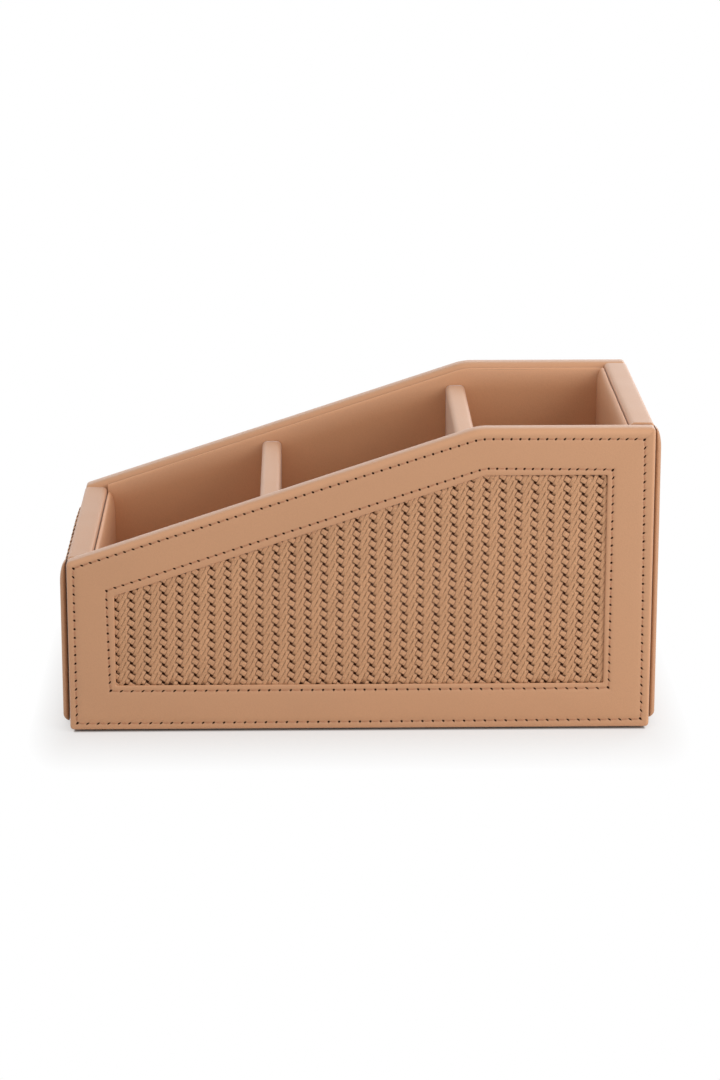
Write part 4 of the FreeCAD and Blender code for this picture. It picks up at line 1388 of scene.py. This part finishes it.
def backdrop_finish():
    """White floor: a pale lit shadow near the holder, a painted contact shadow where its glow fades out at
    the holder's edges, and a painted fade to plain white farther away.
    """
    material, tree, shader = new_finish("studio_floor")
    tree.nodes.remove(shader)
    high = CAD_BOX[1]
    middle = (high[0] - SIDE_MARGIN, high[1] - FRONT_MARGIN, 0.0)
    size = tree.add("VectorMath", tree.place(), operation="ABSOLUTE")
    past = tree.add("VectorMath", size, middle, operation="SUBTRACT")
    beyond = tree.add("VectorMath", past, (0.0, 0.0, 0.0), operation="MAXIMUM")
    fade = tree.add("VectorMath", beyond, (1 / SIDE_FADE, 1 / FRONT_FADE, 0.0), operation="MULTIPLY")
    away = tree.add("VectorMath", fade, operation="LENGTH", out="Value")
    # Share of plain white, rising with distance from the holder: a painted fade of the shadow
    far = tree.scaled(away, 0.0, 1.0)
    # Glow that is nought within the holder's box and grows outwards: a painted contact shadow
    glow_past_contact_shadow = tree.add("MapRange", Value=away, From_Max=0.035, To_Max=0.47)
    paper = tree.add("BsdfDiffuse", Color=(0.80, 0.79, 0.78))
    shown = tree.add("BsdfDiffuse", Color=(0.46, 0.455, 0.45))
    glow = tree.add("Emission", Color=WHITE, Strength=glow_past_contact_shadow)
    white = tree.add("Emission", Color=WHITE, Strength=1.0)
    seen = tree.add("MixShader", far, tree.add("AddShader", shown, glow), white)
    choice = tree.add("MixShader", seen_or_mirrored(tree), paper, seen)
    tree.put(choice, tree.nodes["Material Output"].inputs["Surface"])
    return material


def studio_world():
    """White surround: full white where it is seen or mirrored, and softer as a light."""
    world = bpy.data.worlds.new("studio")
    tree = NodeTree(world)
    tree.nodes.remove(tree.nodes["Background"])
    light = tree.add("Background", Color=WHITE, Strength=SURROUND_LIGHT)
    shown = tree.add("Background", Color=WHITE, Strength=SURROUND_SHOWN)
    choice = tree.add("MixShader", seen_or_mirrored(tree), light, shown)
    tree.put(choice, tree.nodes["World Output"].inputs["Surface"])
    return world


def soft_lamp(name, place, size, power):
    """Square area lamp at a place, turned to the holder."""
    lamp = bpy.data.lights.new(name, "AREA")
    lamp.shape = "SQUARE"
    lamp.size = size
    lamp.energy = power
    towards = np.array(LAMP_TARGET) - np.array(place)
    towards = towards / np.linalg.norm(towards)
    holder = bpy.data.objects.new(name, lamp)
    holder.location = place
    holder.rotation_euler = (np.arccos(-towards[2]), 0.0, np.arctan2(-towards[0], towards[1]))
    return holder


class HOLDER_OT_stage(bpy.types.Operator):
    """Pale floor, soft light and a camera at the viewing angle"""

    bl_idname = "holder.stage"
    bl_label = "Stage"

    def execute(self, context):
        scene = context.scene
        scene.view_settings.view_transform = "Standard"
        mesh = bpy.data.meshes.new("floor")
        square = np.array([(-1, -1, 0), (1, -1, 0), (1, 1, 0), (-1, 1, 0)]) * FLOOR_REACH
        mesh.from_pydata(square, [], [(0, 1, 2, 3)])
        mesh.materials.append(backdrop_finish())
        floor = bpy.data.objects.new("floor", mesh)
        scene.collection.objects.link(floor)
        scene.world = studio_world()
        for lamp in LAMPS:
            scene.collection.objects.link(soft_lamp(*lamp))
        lens = bpy.data.cameras.new("camera")
        lens.lens = CAMERA_LENS
        lens.sensor_width = SENSOR_WIDTH
        camera = bpy.data.objects.new("camera", lens)
        camera.location = CAMERA_PLACE
        camera.rotation_euler = (CAMERA_TILT, 0.0, CAMERA_TURN)
        scene.collection.objects.link(camera)
        scene.camera = camera
        return {"FINISHED"}


class HOLDER_PT_panel(bpy.types.Panel):
    """Sidebar panel with the holder's sizes, colours and steps"""

    bl_idname = "HOLDER_PT_panel"
    bl_label = "Remote control holder"
    bl_space_type = "VIEW_3D"
    bl_region_type = "UI"
    bl_category = "Holder"

    def draw(self, context):
        for group in (context.scene.holder_sizes, context.scene.holder_weave, context.scene.holder_colours):
            box = self.layout.box()
            for name in group.bl_rna.properties.keys():
                if name not in ("rna_type", "name"):
                    box.prop(group, name)
        for step in STEPS:
            self.layout.operator(step.bl_idname)


STEPS = (HOLDER_OT_core, HOLDER_OT_frames, HOLDER_OT_stitches, HOLDER_OT_woven_panels, HOLDER_OT_covers,
         HOLDER_OT_rims, HOLDER_OT_linings, HOLDER_OT_dividers, HOLDER_OT_floor, HOLDER_OT_stage)
CLASSES = (HolderSizes, HolderWeave, HolderColours, *STEPS, HOLDER_PT_panel)


def register():
    """Register the classes and hang their values on the scene."""
    for cls in CLASSES:
        bpy.utils.register_class(cls)
    bpy.types.Scene.holder_sizes = bpy.props.PointerProperty(type=HolderSizes)
    bpy.types.Scene.holder_weave = bpy.props.PointerProperty(type=HolderWeave)
    bpy.types.Scene.holder_colours = bpy.props.PointerProperty(type=HolderColours)


def unregister():
    """Take the values and the classes away again."""
    del bpy.types.Scene.holder_sizes
    del bpy.types.Scene.holder_weave
    del bpy.types.Scene.holder_colours
    for cls in reversed(CLASSES):
        bpy.utils.unregister_class(cls)


def main():
    register()
    bpy.ops.holder.core()
    bpy.ops.holder.frames()
    bpy.ops.holder.stitches()
    bpy.ops.holder.woven_panels()
    bpy.ops.holder.covers()
    bpy.ops.holder.rims()
    bpy.ops.holder.linings()
    bpy.ops.holder.dividers()
    bpy.ops.holder.floor()
    bpy.ops.holder.stage()


if __name__ == "__main__":
    main()
